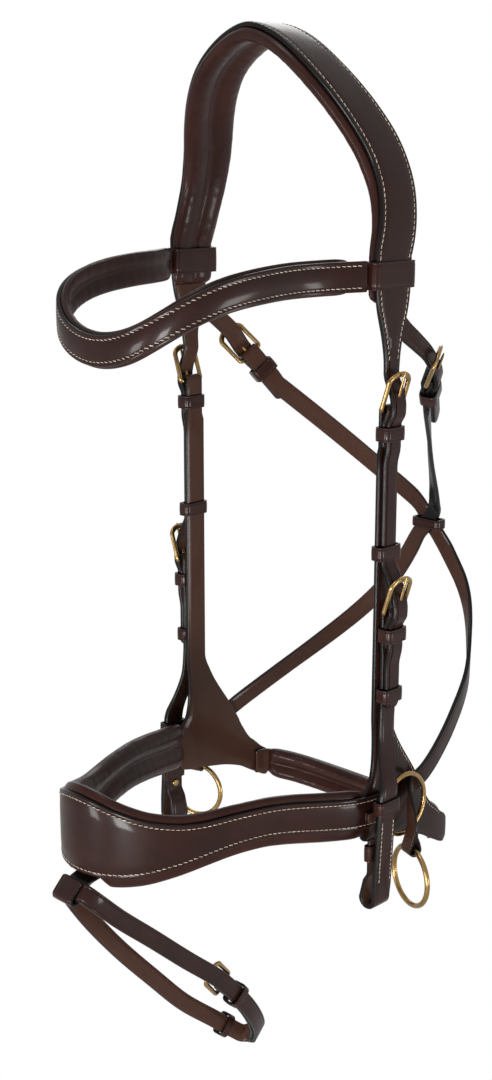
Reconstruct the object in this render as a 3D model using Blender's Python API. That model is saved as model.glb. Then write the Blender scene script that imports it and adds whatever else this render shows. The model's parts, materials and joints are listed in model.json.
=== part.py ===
"""Horse bridle: a padded crown, a wave browband, a shaped noseband and crossed jaw straps.

The jaw straps run through rings beside the noseband and end in rein rings, and a flash strap hangs
under the noseband. +Z is up, the origin is under the crown at the poll, the horse faces -Y and its
near (left) side is +X. All sizes are in metres. A strap is a section carried along a smooth path,
and a path is a table of shares between named places, so it follows the sizes that it joins.
"""
import math
from dataclasses import dataclass

import bmesh
import bpy
import numpy as np
from mathutils import Matrix

# Leather, metal stock and clearances
LEATHER = 0.0028
CROWN_LEATHER = 0.0032
CHAPE_LEATHER = 0.0022
RING_CHAPE_LEATHER = 0.0016
BIT_END_LEATHER = 0.0044
KEEPER_WALL = 0.0015
GAP = 0.0003
EASE = 0.0005
WIRE_RADIUS = 0.0015
TONGUE_RADIUS = 0.0010
SIDE_RING_WIRE = 0.0016
REIN_RING_WIRE = 0.0018
HOLE_RADIUS = 0.0015
HOLE_PITCH = 0.0128
CUT_OVERRUN = 0.0040
EDGE_SHARE = 0.3

# Strap widths
BILLET_WIDTH = 0.0127
HANGER_WIDTH = 0.0165
CHAPE_WIDTH = 0.0140
CHEEK_WIDTH = 0.0135
BIT_END_WIDTH = 0.0155
CROSS_WIDTH = 0.0130
RING_TAB_WIDTH = 0.0105
RING_CHAPE_WIDTH = 0.0070
FLASH_WIDTH = 0.0120
FLASH_LOOP_WIDTH = 0.0180
KEEPER_HEIGHT = 0.0090

# Crown and headpiece
HALF_WIDTH = 0.0895
CROWN_HEIGHT = 0.1330
CROWN_FOOT_DROP = 0.1270
CROWN_LEAN = 0.0190
CROWN_WIDTH = 0.0325
HEAD_FOOT_WIDTH = 0.0325
CROWN_PAD_WIDTH = 0.0390
CROWN_PAD_FOOT_WIDTH = 0.0340
CROWN_PAD_DEPTH = 0.0085
CROWN_PAD_FOOT_DEPTH = 0.0055
CROWN_PAD_FOOT_DROP = 0.1560
HEAD_LINE = -0.0030
STRAP_LINE = -0.0020

# Browband
BROWBAND_DROP = 0.1400
BROWBAND_REACH = 0.1615
BROWBAND_DIP = 0.0393
BROWBAND_WIDTH = 0.0185
BROWBAND_PAD_WIDTH = 0.0215
BROWBAND_PAD_DEPTH = 0.0055
BROWBAND_LOOP_HEIGHT = 0.0165

# Hanger, cheekpiece and noseband
HANGER_INSET = 0.0030
HANGER_BUCKLE_DROP = 0.2220
CHEEK_BUCKLE_DROP = 0.3500
KEEPER_BELOW_BAR = 0.0145
SPREAD_DROP = 0.4200
NOSEBAND_DROP = 0.4790
NOSEBAND_REACH = 0.1833
NOSEBAND_RISE = 0.0150
NOSEBAND_END_WIDTH = 0.0215
NOSEBAND_FRONT_WIDTH = 0.0506
NOSEBAND_END_BACK = 0.0080
NOSEBAND_PAD_ABOVE = 0.0040
NOSEBAND_PAD_BELOW = 0.0080
NOSEBAND_PAD_TUCK = 0.0110
NOSEBAND_TUCK_SHARE = 0.15
NOSEBAND_PAD_DEPTH = 0.0095
BIT_DROP = 0.5440
BIT_LOOP_INSIDE = 0.0080
CHEEK_FORWARD = 0.0140
LOW_KEEPER_DROP = 0.4765
LOW_KEEPER_HEIGHT = 0.0090
BIT_KEEPER_DROP = 0.5080
BIT_KEEPER_HEIGHT = 0.0110
INNER_PLY_TOP_DROP = 0.4985
STUD_DROP = 0.5175
STUD_RADIUS = 0.0012
STUD_HEAD_RADIUS = 0.0028
STUD_HEAD = 0.0012

# Chin strap behind the jaw
CHIN_DROP = 0.5230
CHIN_SAG = 0.0050
CHIN_BACK = 0.0930
CHIN_END_BACK = 0.0640
CHIN_WIDTH = 0.0180
CHIN_PAD_WIDTH = 0.0230
CHIN_PAD_DEPTH = 0.0090

# Buckles: one size for the cheeks and the jaw straps, a narrower one for the flash
BUCKLE_INSIDE = 0.0155
BUCKLE_LENGTH = 0.0240
FLASH_BUCKLE_INSIDE = 0.0135
FLASH_BUCKLE_LENGTH = 0.0215
TONGUE_OVER = 0.0022
BILLET_LIFT = 0.0003
RETURN_LENGTH = 0.0230
BUCKLE_TILT_DEGREES = 18.0
FLASH_TILT_DEGREES = -6.0

# Jaw straps, their crossing and the rings
CROSS_BAR_IN = 0.0800
CROSS_BAR_BACK = 0.0470
CROSS_BAR_DROP = 0.2075
CROSSING_BACK = 0.1530
CROSSING_DROP = 0.3340
CROSS_TIP_BELOW_BAR = 0.0400
REAR_BILLET_TOP_DROP = 0.1640
WRAP_BACK = 0.0130
SIDE_RING_RADIUS = 0.0205
SIDE_RING_BACK = 0.0140
SIDE_RING_DROP = 0.4850
RING_CHAPE_LENGTH = 0.0150
REIN_RING_RADIUS = 0.0200
TAB_BACK = 0.0130
TAB_DROP = 0.5135
TAB_FOLD_LENGTH = 0.0120
TAB_LEATHER = 0.0018
JAW_ENTRY_BACK = 0.0380
JAW_ENTRY_DROP = 0.4720
JAW_PASS_DROP = 0.5000
CROSSING_LOOP_WIDTH = 0.0220
CROSSING_LOOP_HEIGHT = 0.0070

# Flash strap
FLASH_HALF_GAP = 0.0170
FLASH_FRONT_REACH = 0.1900
FLASH_FRONT_DROP = 0.5065
FLASH_BACK_REACH = 0.0240
FLASH_BACK_DROP = 0.6800
FLASH_LOOP_LEATHER = 0.0018
FLASH_RETURN_LENGTH = 0.0180

# Shares of the way between the buckles, from a buckle to the keeper below, and along a billet
RUNNER_SHARE = 0.7031
TIP_SHARE = 0.5059
RUNNER_TO_TIP_SHARE = 0.8594

# Directions: up the jaw strap and out of its buckle, across the rein tab, across the flash strap
CROSS_OUTWARD = (0.734, 0.580, -0.348)
CROSS_UP = (0.334, -0.551, 0.764)
TAB_ACROSS = (0.951, -0.309, 0.0)
FLASH_ACROSS = (0.0, 0.700, 0.714)
CROSSING_ACROSS = (-0.780, 0.0, 0.620)
ENTRY_ACROSS = (0.0, -0.35, 0.94)

# Places that follow from the sizes above
HANGER_RUNNER_BELOW_BAR = (CHEEK_BUCKLE_DROP - HANGER_BUCKLE_DROP) * RUNNER_SHARE
BILLET_TIP_BELOW_BAR = (LOW_KEEPER_DROP - CHEEK_BUCKLE_DROP) * TIP_SHARE
CHEEK_RUNNER_BELOW_BAR = BILLET_TIP_BELOW_BAR * RUNNER_TO_TIP_SHARE
FOLD = WIRE_RADIUS + GAP + CHAPE_LEATHER / 2
HANGER_IN = HALF_WIDTH - HANGER_INSET
CHEEK_IN = HANGER_IN + LEATHER + KEEPER_WALL + 3 * GAP
NOSEBAND_IN = HANGER_IN + LEATHER + GAP
RING_SAG = RING_CHAPE_WIDTH ** 2 / (8 * SIDE_RING_RADIUS)
RING_FOLD = SIDE_RING_WIRE + GAP + RING_SAG + RING_CHAPE_LEATHER / 2
SIDE_RING_IN = NOSEBAND_IN + LEATHER / 2 + GAP + RING_CHAPE_LEATHER / 2 + RING_FOLD
BIT_END_IN = SIDE_RING_IN + RING_FOLD + RING_CHAPE_LEATHER / 2 + GAP + BIT_END_LEATHER / 2
JAW_IN = (HANGER_IN + LEATHER / 2 + SIDE_RING_IN - SIDE_RING_WIRE) / 2
TAB_SAG = RING_TAB_WIDTH ** 2 / (8 * REIN_RING_RADIUS)
TAB_FOLD = REIN_RING_WIRE + 2 * GAP + TAB_SAG + TAB_LEATHER / 2
TAB_IN = SIDE_RING_IN + SIDE_RING_WIRE + RING_TAB_WIDTH / 2 + GAP + EASE
CHIN_IN = HANGER_IN - LEATHER - GAP
STACK = -FOLD + CHAPE_LEATHER + GAP
SEATED = STACK + CHAPE_LEATHER / 2 + GAP + LEATHER / 2
FLAT = -FOLD + LEATHER + GAP
EYE = WIRE_RADIUS + GAP + TONGUE_RADIUS

# Shares along a half from its near end to the middle: inward, forward, down or up, and width
BROWBAND_SHARES = (
    (0.968, 0.145, 0.000), (0.915, 0.200, 0.005), (0.855, 0.265, 0.012), (0.810, 0.345, 0.020),
    (0.785, 0.432, 0.030), (0.770, 0.510, 0.052), (0.757, 0.590, 0.085), (0.738, 0.665, 0.130),
    (0.713, 0.735, 0.192), (0.675, 0.805, 0.285), (0.620, 0.868, 0.410), (0.540, 0.920, 0.560),
    (0.440, 0.957, 0.710), (0.330, 0.979, 0.840), (0.220, 0.991, 0.930), (0.110, 0.998, 0.982),
    (0.000, 1.000, 1.000),
)
NOSEBAND_SHARES = (
    (1.000, -0.04, -0.34, 0.02), (1.000, 0.060, -0.30, 0.01), (0.995, 0.131, -0.21, 0.00),
    (0.930, 0.261, 0.01, 0.00), (0.852, 0.378, 0.24, -0.01), (0.774, 0.493, 0.37, -0.03),
    (0.696, 0.606, 0.31, 0.00), (0.619, 0.707, 0.15, 0.08), (0.538, 0.795, 0.06, 0.24),
    (0.453, 0.868, 0.08, 0.44), (0.362, 0.922, 0.17, 0.63), (0.255, 0.965, 0.30, 0.81),
    (0.132, 0.991, 0.41, 0.95), (0.000, 1.000, 0.45, 1.00),
)
# The two edges of the plate under a hanger, as shares back to the chin end and down to the chin
SPREAD_FRONT_SHARES = (
    (-0.150, 0.120), (-0.150, 0.310), (-0.200, 0.450), (-0.295, 0.530), (-0.300, 0.800),
    (0.000, 0.850), (0.390, 0.900), (0.700, 0.970), (0.950, 1.060), (1.060, 1.090), (1.130, 1.050),
)
SPREAD_REAR_SHARES = (
    (0.160, 0.120), (0.300, 0.270), (0.460, 0.410), (0.575, 0.520), (0.655, 0.610),
    (0.715, 0.670), (0.780, 0.730), (0.860, 0.780), (0.970, 0.840), (1.060, 0.880), (1.130, 0.930),
)
SPREAD_IN_SHARES = (1.0, 1.0, 1.0, 1.0, 1.0, 1.0, 1.0, 1.0, 0.994, 0.984, 0.972)
CHIN_SHARES = (
    (0.996, 0.600, -0.9), (0.988, 0.680, -0.8), (0.950, 0.750, -0.6), (0.880, 0.815, -0.3),
    (0.770, 0.890, 0.1), (0.580, 0.950, 0.5), (0.300, 0.988, 0.8), (0.000, 1.000, 0.9),
)
CHEEK_SHARES = (
    (0.00, 0.00, 0.32), (0.00, 0.02, 0.36), (0.10, 0.10, 0.44), (0.58, 0.38, 0.53),
    (0.93, 0.56, 0.585), (1.00, 0.66, 0.62), (1.00, 0.76, 0.70), (1.00, 0.85, 0.80),
    (1.00, 0.96, 0.93),
)
# Shares between a jaw strap's buckle, the crossing and the side ring: inward, back and down
JAW_UPPER_SHARES = (
    (0.36, 0.36, 0.355), (0.56, 0.58, 0.54), (0.73, 0.78, 0.710), (0.84, 0.92, 0.835),
    (0.91, 0.985, 0.915),
)
JAW_LOWER_SHARES = (
    (0.08, 0.003, 0.060), (0.17, 0.020, 0.150), (0.30, 0.030, 0.27), (0.43, -0.015, 0.405),
    (0.58, -0.145, 0.55), (0.74, -0.330, 0.69), (0.86, -0.560, 0.81), (0.95, -0.790, 0.915),
)
# Shares from the ring's edge to the rein tab: outward, forward, down and turn across
RING_PASS_SHARES = (
    (0.00, 0.00, 0.00, 0.00), (0.00, 0.32, 0.11, 0.00), (0.10, 0.56, 0.21, 0.15),
    (0.43, 0.76, 0.43, 0.45), (0.80, 0.90, 0.71, 0.80), (1.00, 0.98, 0.97, 1.00),
)
# Lean of the crown forwards against its height
CROWN_LEAN_SHARES = (
    (0.00, 0.00), (0.13, -0.25), (0.28, -0.36), (0.43, -0.22), (0.58, 0.16), (0.73, 0.60),
    (0.86, 0.90), (1.00, 1.00),
)
HEAD_FOOT_SHARES = ((0.34, 0.05), (0.48, 0.30), (0.66, 0.78), (0.82, 0.96))
# Shares round the flash loop: sideways, back and down
FLASH_NEAR_SHARES = (
    (0.00, 0.00, 0.00), (0.55, 0.00, 0.00), (0.93, 0.045, 0.045), (1.00, 0.14, 0.135),
    (1.00, 0.30, 0.270), (1.00, 0.48, 0.425), (1.00, 0.66, 0.575), (0.97, 0.743, 0.660),
    (0.894, 0.836, 0.767), (0.647, 0.916, 0.874), (0.265, 0.966, 0.953), (-0.176, 0.983, 0.998),
)
FLASH_FAR_SHARES = (
    (-0.55, 0.00, 0.00), (-0.90, 0.050, 0.060), (-0.95, 0.150, 0.200), (-1.00, 0.307, 0.390),
    (-1.05, 0.476, 0.571), (-1.05, 0.640, 0.741), (-0.982, 0.798, 0.872), (-0.871, 0.901, 0.957),
    (-0.588, 0.964, 1.001),
)
# Section of a padded lining, half of it: share of the width, share of the depth
PAD_SECTION_SHARES = ((1.00, 0.28), (0.95, 0.66), (0.80, 0.93), (0.56, 1.00), (0.28, 0.86), (0.0, 0.66))
FRAME_CORNER_SHARE = 0.22
SLOT_MIDDLE_SHARE = 0.30
SLOT_LENGTH_SHARE = 0.62
ARCH_SHARE = 0.62
ARCH_STEPS = 7
FOLD_STEPS = 7
CROWN_STEPS = 12
ROUND_SIDES = 24
PATH_STEPS = 2

NEAR, FAR = 1, -1
SIDE_NAMES = {NEAR: "near", FAR: "far"}
HAVANA = ((0.075, 0.036, 0.028), 0.38, 0.0)
LINING = ((0.105, 0.045, 0.033), 0.50, 0.0)
BRASS = ((0.56, 0.40, 0.17), 0.28, 1.0)


@dataclass(frozen=True)
class Seat:
    """A buckle's place: the bar's centre, up the strap, and out of the horse."""

    bar: tuple
    up: tuple
    outward: tuple

    def axes(self):
        """Return unit vectors across, up and out, square to each other."""
        up = np.array(self.up) / np.linalg.norm(self.up)
        out = np.array(self.outward) - np.dot(self.outward, up) * up
        out = out / np.linalg.norm(out)
        return np.cross(out, up), up, out

    def at(self, out, up, across=0.0):
        """Return the place at these distances out, up and across from the bar."""
        along, high, away = self.axes()
        return np.array(self.bar) + along * across + high * up + away * out

    def matrix(self, tilt=0.0, out=0.0, up=0.0):
        """Return the matrix that stands +X across, +Y up the strap and +Z out, tilted outwards."""
        along, high, away = self.axes()
        lean = high * math.cos(tilt) + away * math.sin(tilt)
        face = away * math.cos(tilt) - high * math.sin(tilt)
        spot = self.at(out, up)
        rows = [[-along[i], lean[i], face[i], spot[i]] for i in range(3)]
        return Matrix(rows + [[0.0, 0.0, 0.0, 1.0]])


def cheek_seat(side, inward, drop):
    """Return the seat of a buckle on a cheek, whose strap hangs this far out and down."""
    return Seat((side * (inward + FOLD), STRAP_LINE, -drop), (0, 0, 1), (side, 0, 0))


def jaw_seat(side):
    """Return the seat of the buckle at the top of a jaw strap."""
    bar = (side * CROSS_BAR_IN, CROSS_BAR_BACK, -CROSS_BAR_DROP)
    out, up = CROSS_OUTWARD, CROSS_UP
    return Seat(bar, (side * up[0], up[1], up[2]), (side * out[0], out[1], out[2]))


def clear_scene():
    """Remove every object and make the collections for the bridle and its cutters."""
    for old in list(bpy.data.objects):
        bpy.data.objects.remove(old, do_unlink=True)
    found = {}
    for name in ("horse_bridle", "cutters"):
        group = bpy.data.collections.new(name)
        bpy.context.scene.collection.children.link(group)
        found[name] = group
    return found


def finish_of(name, values):
    """Return a Principled material of this colour, roughness and metallic value."""
    colour, roughness, metallic = values
    material = bpy.data.materials.new(name)
    material.use_nodes = True
    shader = material.node_tree.nodes["Principled BSDF"]
    shader.inputs["Base Color"].default_value = (*colour, 1.0)
    shader.inputs["Roughness"].default_value = roughness
    shader.inputs["Metallic"].default_value = metallic
    material.diffuse_color = (*colour, 1.0)
    return material


def add_piece(name, mesh, values, matrix=None):
    """Put a mesh in the bridle as a named piece with its own material, shaded smooth."""
    mesh.shade_smooth()
    mesh.set_sharp_from_angle(angle=math.radians(40))
    piece = bpy.data.objects.new(name, mesh)
    piece.data.materials.clear()
    piece.data.materials.append(finish_of(name, values))
    if matrix is not None:
        piece.matrix_world = matrix
    bpy.data.collections["horse_bridle"].objects.link(piece)
    return piece


def unit(rows):
    """Return each row at length one."""
    return rows / np.linalg.norm(rows, axis=1)[:, None]


def smooth(rows, steps=PATH_STEPS):
    """Return a smooth curve through every row: each span is a cubic whose end slopes are those of
    the parabola through a row and its two neighbours, held back where they would overshoot."""
    rows = np.array(rows, dtype=float)
    knots = np.concatenate([[0.0], np.cumsum(np.sqrt(np.linalg.norm(np.diff(rows[:, :3], axis=0), axis=1)))])
    gaps = np.diff(knots)[:, None]
    spans = np.diff(rows, axis=0) / gaps
    slopes = np.empty_like(rows)
    least = 2 * np.minimum(np.abs(spans[:-1]), np.abs(spans[1:]))
    slopes[1:-1] = (spans[:-1] * gaps[1:] + spans[1:] * gaps[:-1]) / (gaps[:-1] + gaps[1:])
    slopes[1:-1] = np.clip(slopes[1:-1], -least, least) * (spans[:-1] * spans[1:] > 0)
    slopes[0], slopes[-1] = spans[0], spans[-1]
    share = (np.arange(steps) / steps)[None, :, None]
    low, high = rows[:-1, None], rows[1:, None]
    start, end = (slopes[:-1] * gaps)[:, None], (slopes[1:] * gaps)[:, None]
    curve = ((2 * share ** 3 - 3 * share ** 2 + 1) * low + (share ** 3 - 2 * share ** 2 + share) * start
             + (3 * share ** 2 - 2 * share ** 3) * high + (share ** 3 - share ** 2) * end)
    return np.concatenate([curve.reshape(-1, rows.shape[1]), rows[-1:]])


def lean(rows, slack=GAP / 4):
    """Return the rows without those that lie on the line between their neighbours."""
    kept = [rows[0]]
    for here, ahead in zip(rows[1:-1], rows[2:]):
        reach = np.linalg.norm(ahead[:3] - kept[-1][:3])
        share = np.linalg.norm(here[:3] - kept[-1][:3]) / reach
        miss = here - (kept[-1] * (1 - share) + ahead * share)
        if np.linalg.norm(miss[:3]) + np.abs(miss[6:]).sum() > slack or np.linalg.norm(miss[3:6]) > 0.03:
            kept.append(here)
    return np.array(kept + [rows[-1]])


def frames(path, across, square=True):
    """Return unit vectors across and out of a path, from rough directions across it."""
    along = unit(np.gradient(path, axis=0))
    across = np.broadcast_to(np.array(across, dtype=float), path.shape)
    if square:
        across = across - np.sum(across * along, axis=1)[:, None] * along
    across = unit(across)
    return across, unit(np.cross(along, across))


def column(values, count):
    """Return one value for every row of a path."""
    return np.broadcast_to(np.array(values, dtype=float), (count,))


def skin(name, rings, values):
    """Make a closed piece from a stack of rings, each a loop of points, with flat ends."""
    count, sides = rings.shape[:2]
    body = bmesh.new()
    points = [body.verts.new(p) for p in rings.reshape(-1, 3)]
    for i in range(count - 1):
        for j in range(sides):
            k = (j + 1) % sides
            loop = (points[i * sides + j], points[i * sides + k],
                    points[(i + 1) * sides + k], points[(i + 1) * sides + j])
            body.faces.new(loop)
    body.faces.new(points[:sides])
    body.faces.new(points[-sides:])
    bmesh.ops.recalc_face_normals(body, faces=body.faces)
    mesh = bpy.data.meshes.new(name)
    body.to_mesh(mesh)
    body.free()
    return add_piece(name, mesh, values)


def strap(name, path, across, width, thickness, values=HAVANA, square=True):
    """Make a strap: a flat section with bevelled edges, carried along a path."""
    path = np.asarray(path, dtype=float)
    across, out = frames(path, across, square)
    half = column(width, len(path))[:, None] / 2
    deep = column(thickness, len(path))[:, None] / 2
    edge = 2 * EDGE_SHARE * deep
    corners = ((half - edge, deep), (half, deep - edge), (half, edge - deep), (half - edge, -deep),
               (edge - half, -deep), (-half, edge - deep), (-half, deep - edge), (edge - half, deep))
    rings = np.stack([path + across * u + out * v for u, v in corners], axis=1)
    return skin(name, rings, values)


def pad(name, path, across, width, depth, values=LINING, square=True):
    """Make a padded lining: flat against the leather on the path, with two rolls and a channel
    between them on the other side, drawn in to its edges and at its ends."""
    path = np.asarray(path, dtype=float)
    across, out = frames(path, across, square)
    half = column(width, len(path))[:, None] / 2
    deep = column(depth, len(path))[:, None]
    rolls = [(u, v) for u, v in PAD_SECTION_SHARES]
    section = rolls + [(-u, v) for u, v in rolls[-2::-1]] + [(-0.9, 0.0), (0.9, 0.0)]
    rings = np.stack([path + across * half * u - out * deep * v for u, v in section], axis=1)
    return skin(name, rings, values)


def drawn_in(count, ends=2, share=0.55):
    """Return shares along a path that are full in the middle and smaller at the two ends."""
    steps = np.minimum(np.arange(count), np.arange(count)[::-1])
    return share + (1 - share) * np.sin(np.minimum(steps / ends, 1.0) * math.pi / 2)


def mesh_of_curve(name, curve):
    """Return the closed mesh of a curve, with its doubled points merged and its faces out."""
    drawn = bpy.data.objects.new(name, curve)
    bpy.context.scene.collection.objects.link(drawn)
    bpy.context.view_layer.update()
    mesh = bpy.data.meshes.new_from_object(drawn.evaluated_get(bpy.context.evaluated_depsgraph_get()))
    bpy.data.objects.remove(drawn, do_unlink=True)
    body = bmesh.new()
    body.from_mesh(mesh)
    bmesh.ops.remove_doubles(body, verts=body.verts, dist=GAP / 30)
    bmesh.ops.recalc_face_normals(body, faces=body.faces)
    body.to_mesh(mesh)
    body.free()
    mesh.materials.clear()
    return mesh


def tube(name, points, radius, values, closed=False, sides=2, matrix=None):
    """Make a wire of this radius along the points, as a mesh with its ends closed."""
    curve = bpy.data.curves.new(name, "CURVE")
    curve.dimensions = "3D"
    curve.bevel_depth = radius
    curve.bevel_resolution = sides
    curve.use_fill_caps = not closed
    line = curve.splines.new("POLY")
    line.points.add(len(points) - 1)
    for spot, point in zip(line.points, points):
        spot.co = (*point, 1.0)
    line.use_cyclic_u = closed
    mesh = mesh_of_curve(name, curve)
    return add_piece(name, mesh, values, matrix)


def arc(centre_u, centre_v, radius, start, stop, steps):
    """Return points on a flat arc, from the start angle to the stop angle in degrees."""
    turn = np.radians(np.linspace(start, stop, steps + 1))
    return np.stack([centre_u + radius * np.cos(turn), centre_v + radius * np.sin(turn)], axis=1)


def buckle(name, seat, inside, length, tilt_degrees):
    """Make a buckle's frame: a bar, two sides and an arched free end, tilted off the strap."""
    half = inside / 2 + WIRE_RADIUS
    corner = half * FRAME_CORNER_SHARE
    low = arc(half - corner, corner, corner, -90, 0, 3)
    high = arc(0.0, 0.0, half, 8, 172, ARCH_STEPS) * [1.0, ARCH_SHARE]
    high[:, 1] = high[:, 1] + length - half * ARCH_SHARE
    outline = np.concatenate([low, high, low[::-1] * [-1, 1]])
    points = np.column_stack([outline, np.zeros(len(outline))])
    place = seat.matrix(math.radians(tilt_degrees))
    return tube(name, points, WIRE_RADIUS, BRASS, closed=True, matrix=place)


def tongue(name, seat, length, tilt_degrees):
    """Make a buckle's tongue: an eye round the bar and a pin that rests on the free end."""
    eye = WIRE_RADIUS + GAP + TONGUE_RADIUS
    turns = arc(0.0, 0.0, eye, 110, 360, 8)
    points = [(0.0, v, u) for u, v in turns]
    points += [(0.0, length / 2, eye), (0.0, length + TONGUE_OVER, eye)]
    return tube(name, points, TONGUE_RADIUS, BRASS, sides=1, matrix=seat.matrix(math.radians(tilt_degrees)))


def keeper(name, matrix, width, depth, height, wall=KEEPER_WALL, values=HAVANA, corner_share=0.4):
    """Make a keeper: a flat outline of two rounded rectangles, drawn out to the keeper's height.

    The strap runs through it along the matrix's +Y, between faces square to its +Z."""
    curve = bpy.data.curves.new(name, "CURVE")
    curve.dimensions = "2D"
    curve.fill_mode = "BOTH"
    curve.extrude = height / 2
    for grow in (0.0, wall):
        half, deep = width / 2 + grow, depth / 2 + grow
        round_off = (depth / 2) * corner_share + grow
        corners = [arc(half - round_off, deep - round_off, round_off, 0, 90, 2)]
        corners.append(corners[0][::-1] * [-1, 1])
        corners.append(corners[0] * [-1, -1])
        corners.append(corners[0][::-1] * [1, -1])
        outline = np.concatenate(corners)
        line = curve.splines.new("POLY")
        line.points.add(len(outline) - 1)
        for spot, (u, v) in zip(line.points, outline):
            spot.co = (u, v, 0.0, 1.0)
        line.use_cyclic_u = True
    mesh = mesh_of_curve(name, curve)
    mesh.transform(Matrix.Rotation(math.radians(-90), 4, "X"))
    return add_piece(name, mesh, values, matrix)


def ring(name, centre, normal, radius, wire, pivot):
    """Make a round ring about a centre, square to its normal, with its origin at a pivot."""
    bpy.ops.mesh.primitive_torus_add(major_segments=ROUND_SIDES, minor_segments=6,
                                     major_radius=radius, minor_radius=wire)
    made = bpy.context.active_object
    mesh = made.data
    bpy.data.objects.remove(made, do_unlink=True)
    away = np.array(normal) / np.linalg.norm(normal)
    down = np.array([0.0, 0.0, 1.0])
    side = np.cross(down, away)
    rows = [[side[i], down[i], away[i], centre[i] - pivot[i]] for i in range(3)]
    mesh.transform(Matrix(rows + [[0.0, 0.0, 0.0, 1.0]]))
    return add_piece(name, mesh, BRASS, Matrix.Translation(pivot))


def cut(piece, cutters):
    """Cut closed shapes out of a piece and keep them as wires in the cutters' collection."""
    for k, (mesh, matrix) in enumerate(cutters):
        tool = bpy.data.objects.new(f"{piece.name}_cutter_{k}", mesh)
        tool.matrix_world = matrix
        tool.hide_render = True
        tool.display_type = "WIRE"
        bpy.data.collections["cutters"].objects.link(tool)
        change = piece.modifiers.new(f"cut_{k}", "BOOLEAN")
        change.operation = "DIFFERENCE"
        change.solver = "EXACT"
        change.object = tool


def slot_cutter(seat, low, high, width, reach):
    """Return a box across the strap at a seat, from low to high along it and this far in and out."""
    body = bmesh.new()
    bmesh.ops.create_cube(body, size=1.0)
    mesh = bpy.data.meshes.new("slot")
    body.to_mesh(mesh)
    body.free()
    size = Matrix.Diagonal((width, high - low, 2 * reach, 1.0))
    return mesh, seat.matrix(0.0, 0.0, (low + high) / 2) @ size


def hole_cutter(spot, normal, radius=HOLE_RADIUS, reach=CUT_OVERRUN):
    """Return a round cutter through a strap at a spot, along its normal."""
    body = bmesh.new()
    bmesh.ops.create_cone(body, cap_ends=True, segments=8, radius1=radius, radius2=radius,
                          depth=2 * reach)
    mesh = bpy.data.meshes.new("hole")
    body.to_mesh(mesh)
    body.free()
    away = np.array(normal) / np.linalg.norm(normal)
    helper = np.array([0.0, 1.0, 0.0]) if abs(away[1]) < 0.9 else np.array([1.0, 0.0, 0.0])
    side = np.cross(helper, away)
    side = side / np.linalg.norm(side)
    up = np.cross(away, side)
    rows = [[side[i], up[i], away[i], spot[i]] for i in range(3)]
    return mesh, Matrix(rows + [[0.0, 0.0, 0.0, 1.0]])


def chape_lane(fold, leather, low, back):
    """Return a folded strap end beside a bar, as distances out and up: down the outer ply from its
    end to the fold, round the bar, and down the inner ply to low."""
    pinched = -fold + leather + GAP
    outer = [(pinched, -back), (pinched, -back * 0.40), (fold * 0.40, -back * 0.22)]
    turn = arc(0.0, 0.0, fold, 0, 180, FOLD_STEPS)
    inner = [(-fold, -back * 0.30), (-fold, -low)]
    return outer + [tuple(p) for p in turn] + inner


def billet_lane(length, tilt_degrees):
    """Return a billet's way past a buckle, as distances out and up: inside the free end, out over
    the bar and down on to the keeper's stack."""
    over = FOLD + CHAPE_LEATHER / 2 + GAP + LEATHER / 2 + BILLET_LIFT
    top = length * math.cos(math.radians(tilt_degrees))
    return [(-FOLD * 0.1, top), (over * 0.80, top * 0.42), (over, top * 0.10),
            (over * 0.96, -length * 0.09), (SEATED, -KEEPER_BELOW_BAR * 0.66)]


MIRROR = np.array([-1.0, 1.0, 1.0, -1.0, 1.0, 1.0, 1.0, 1.0])
FORE = (0.0, 1.0, 0.0)


def rows_of(points, across, width, thickness):
    """Return rows of place, direction across, width and thickness for a run of points."""
    points = np.atleast_2d(np.array(points, dtype=float))
    across = np.broadcast_to(np.array(across, dtype=float), points.shape)
    size = np.empty((len(points), 2))
    size[:, 0] = width
    size[:, 1] = thickness
    return np.concatenate([points, across, size], axis=1)


def both_halves(half):
    """Return rows from the near end to the far end, from the half that ends at the middle."""
    return joined(half, (half * MIRROR)[-2::-1])


def seat_rows(seat, lane, width, thickness, across=None):
    """Return rows for a lane of distances out and up from a seat's bar."""
    way = seat.axes()[0] if across is None else across
    return rows_of([seat.at(out, up) for out, up in lane], way, width, thickness)


def strap_of(name, rows, side=NEAR, square=True):
    """Make a strap from rows laid out for the near side, mirrored for the far side."""
    rows = np.asarray(rows) * (MIRROR if side == FAR else 1.0)
    return strap(name, rows[:, :3], rows[:, 3:6], rows[:, 6], rows[:, 7], square=square)


def joined(*parts):
    """Return runs of rows as one run."""
    return np.concatenate(parts)


def tongue_cutters(seat, length, tilt_degrees):
    """Return the slot that a tongue needs through the billet that it holds."""
    middle = Matrix.Translation((0.0, length * SLOT_MIDDLE_SHARE, EYE + EASE))
    place = seat.matrix(math.radians(tilt_degrees)) @ middle
    wide = 2 * (TONGUE_RADIUS + EASE)
    body = bmesh.new()
    bmesh.ops.create_cube(body, size=1.0)
    mesh = bpy.data.meshes.new("tongue_slot")
    body.to_mesh(mesh)
    body.free()
    return mesh, place @ Matrix.Diagonal((wide, length * SLOT_LENGTH_SHARE, wide + 2 * EASE, 1.0))


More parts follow.
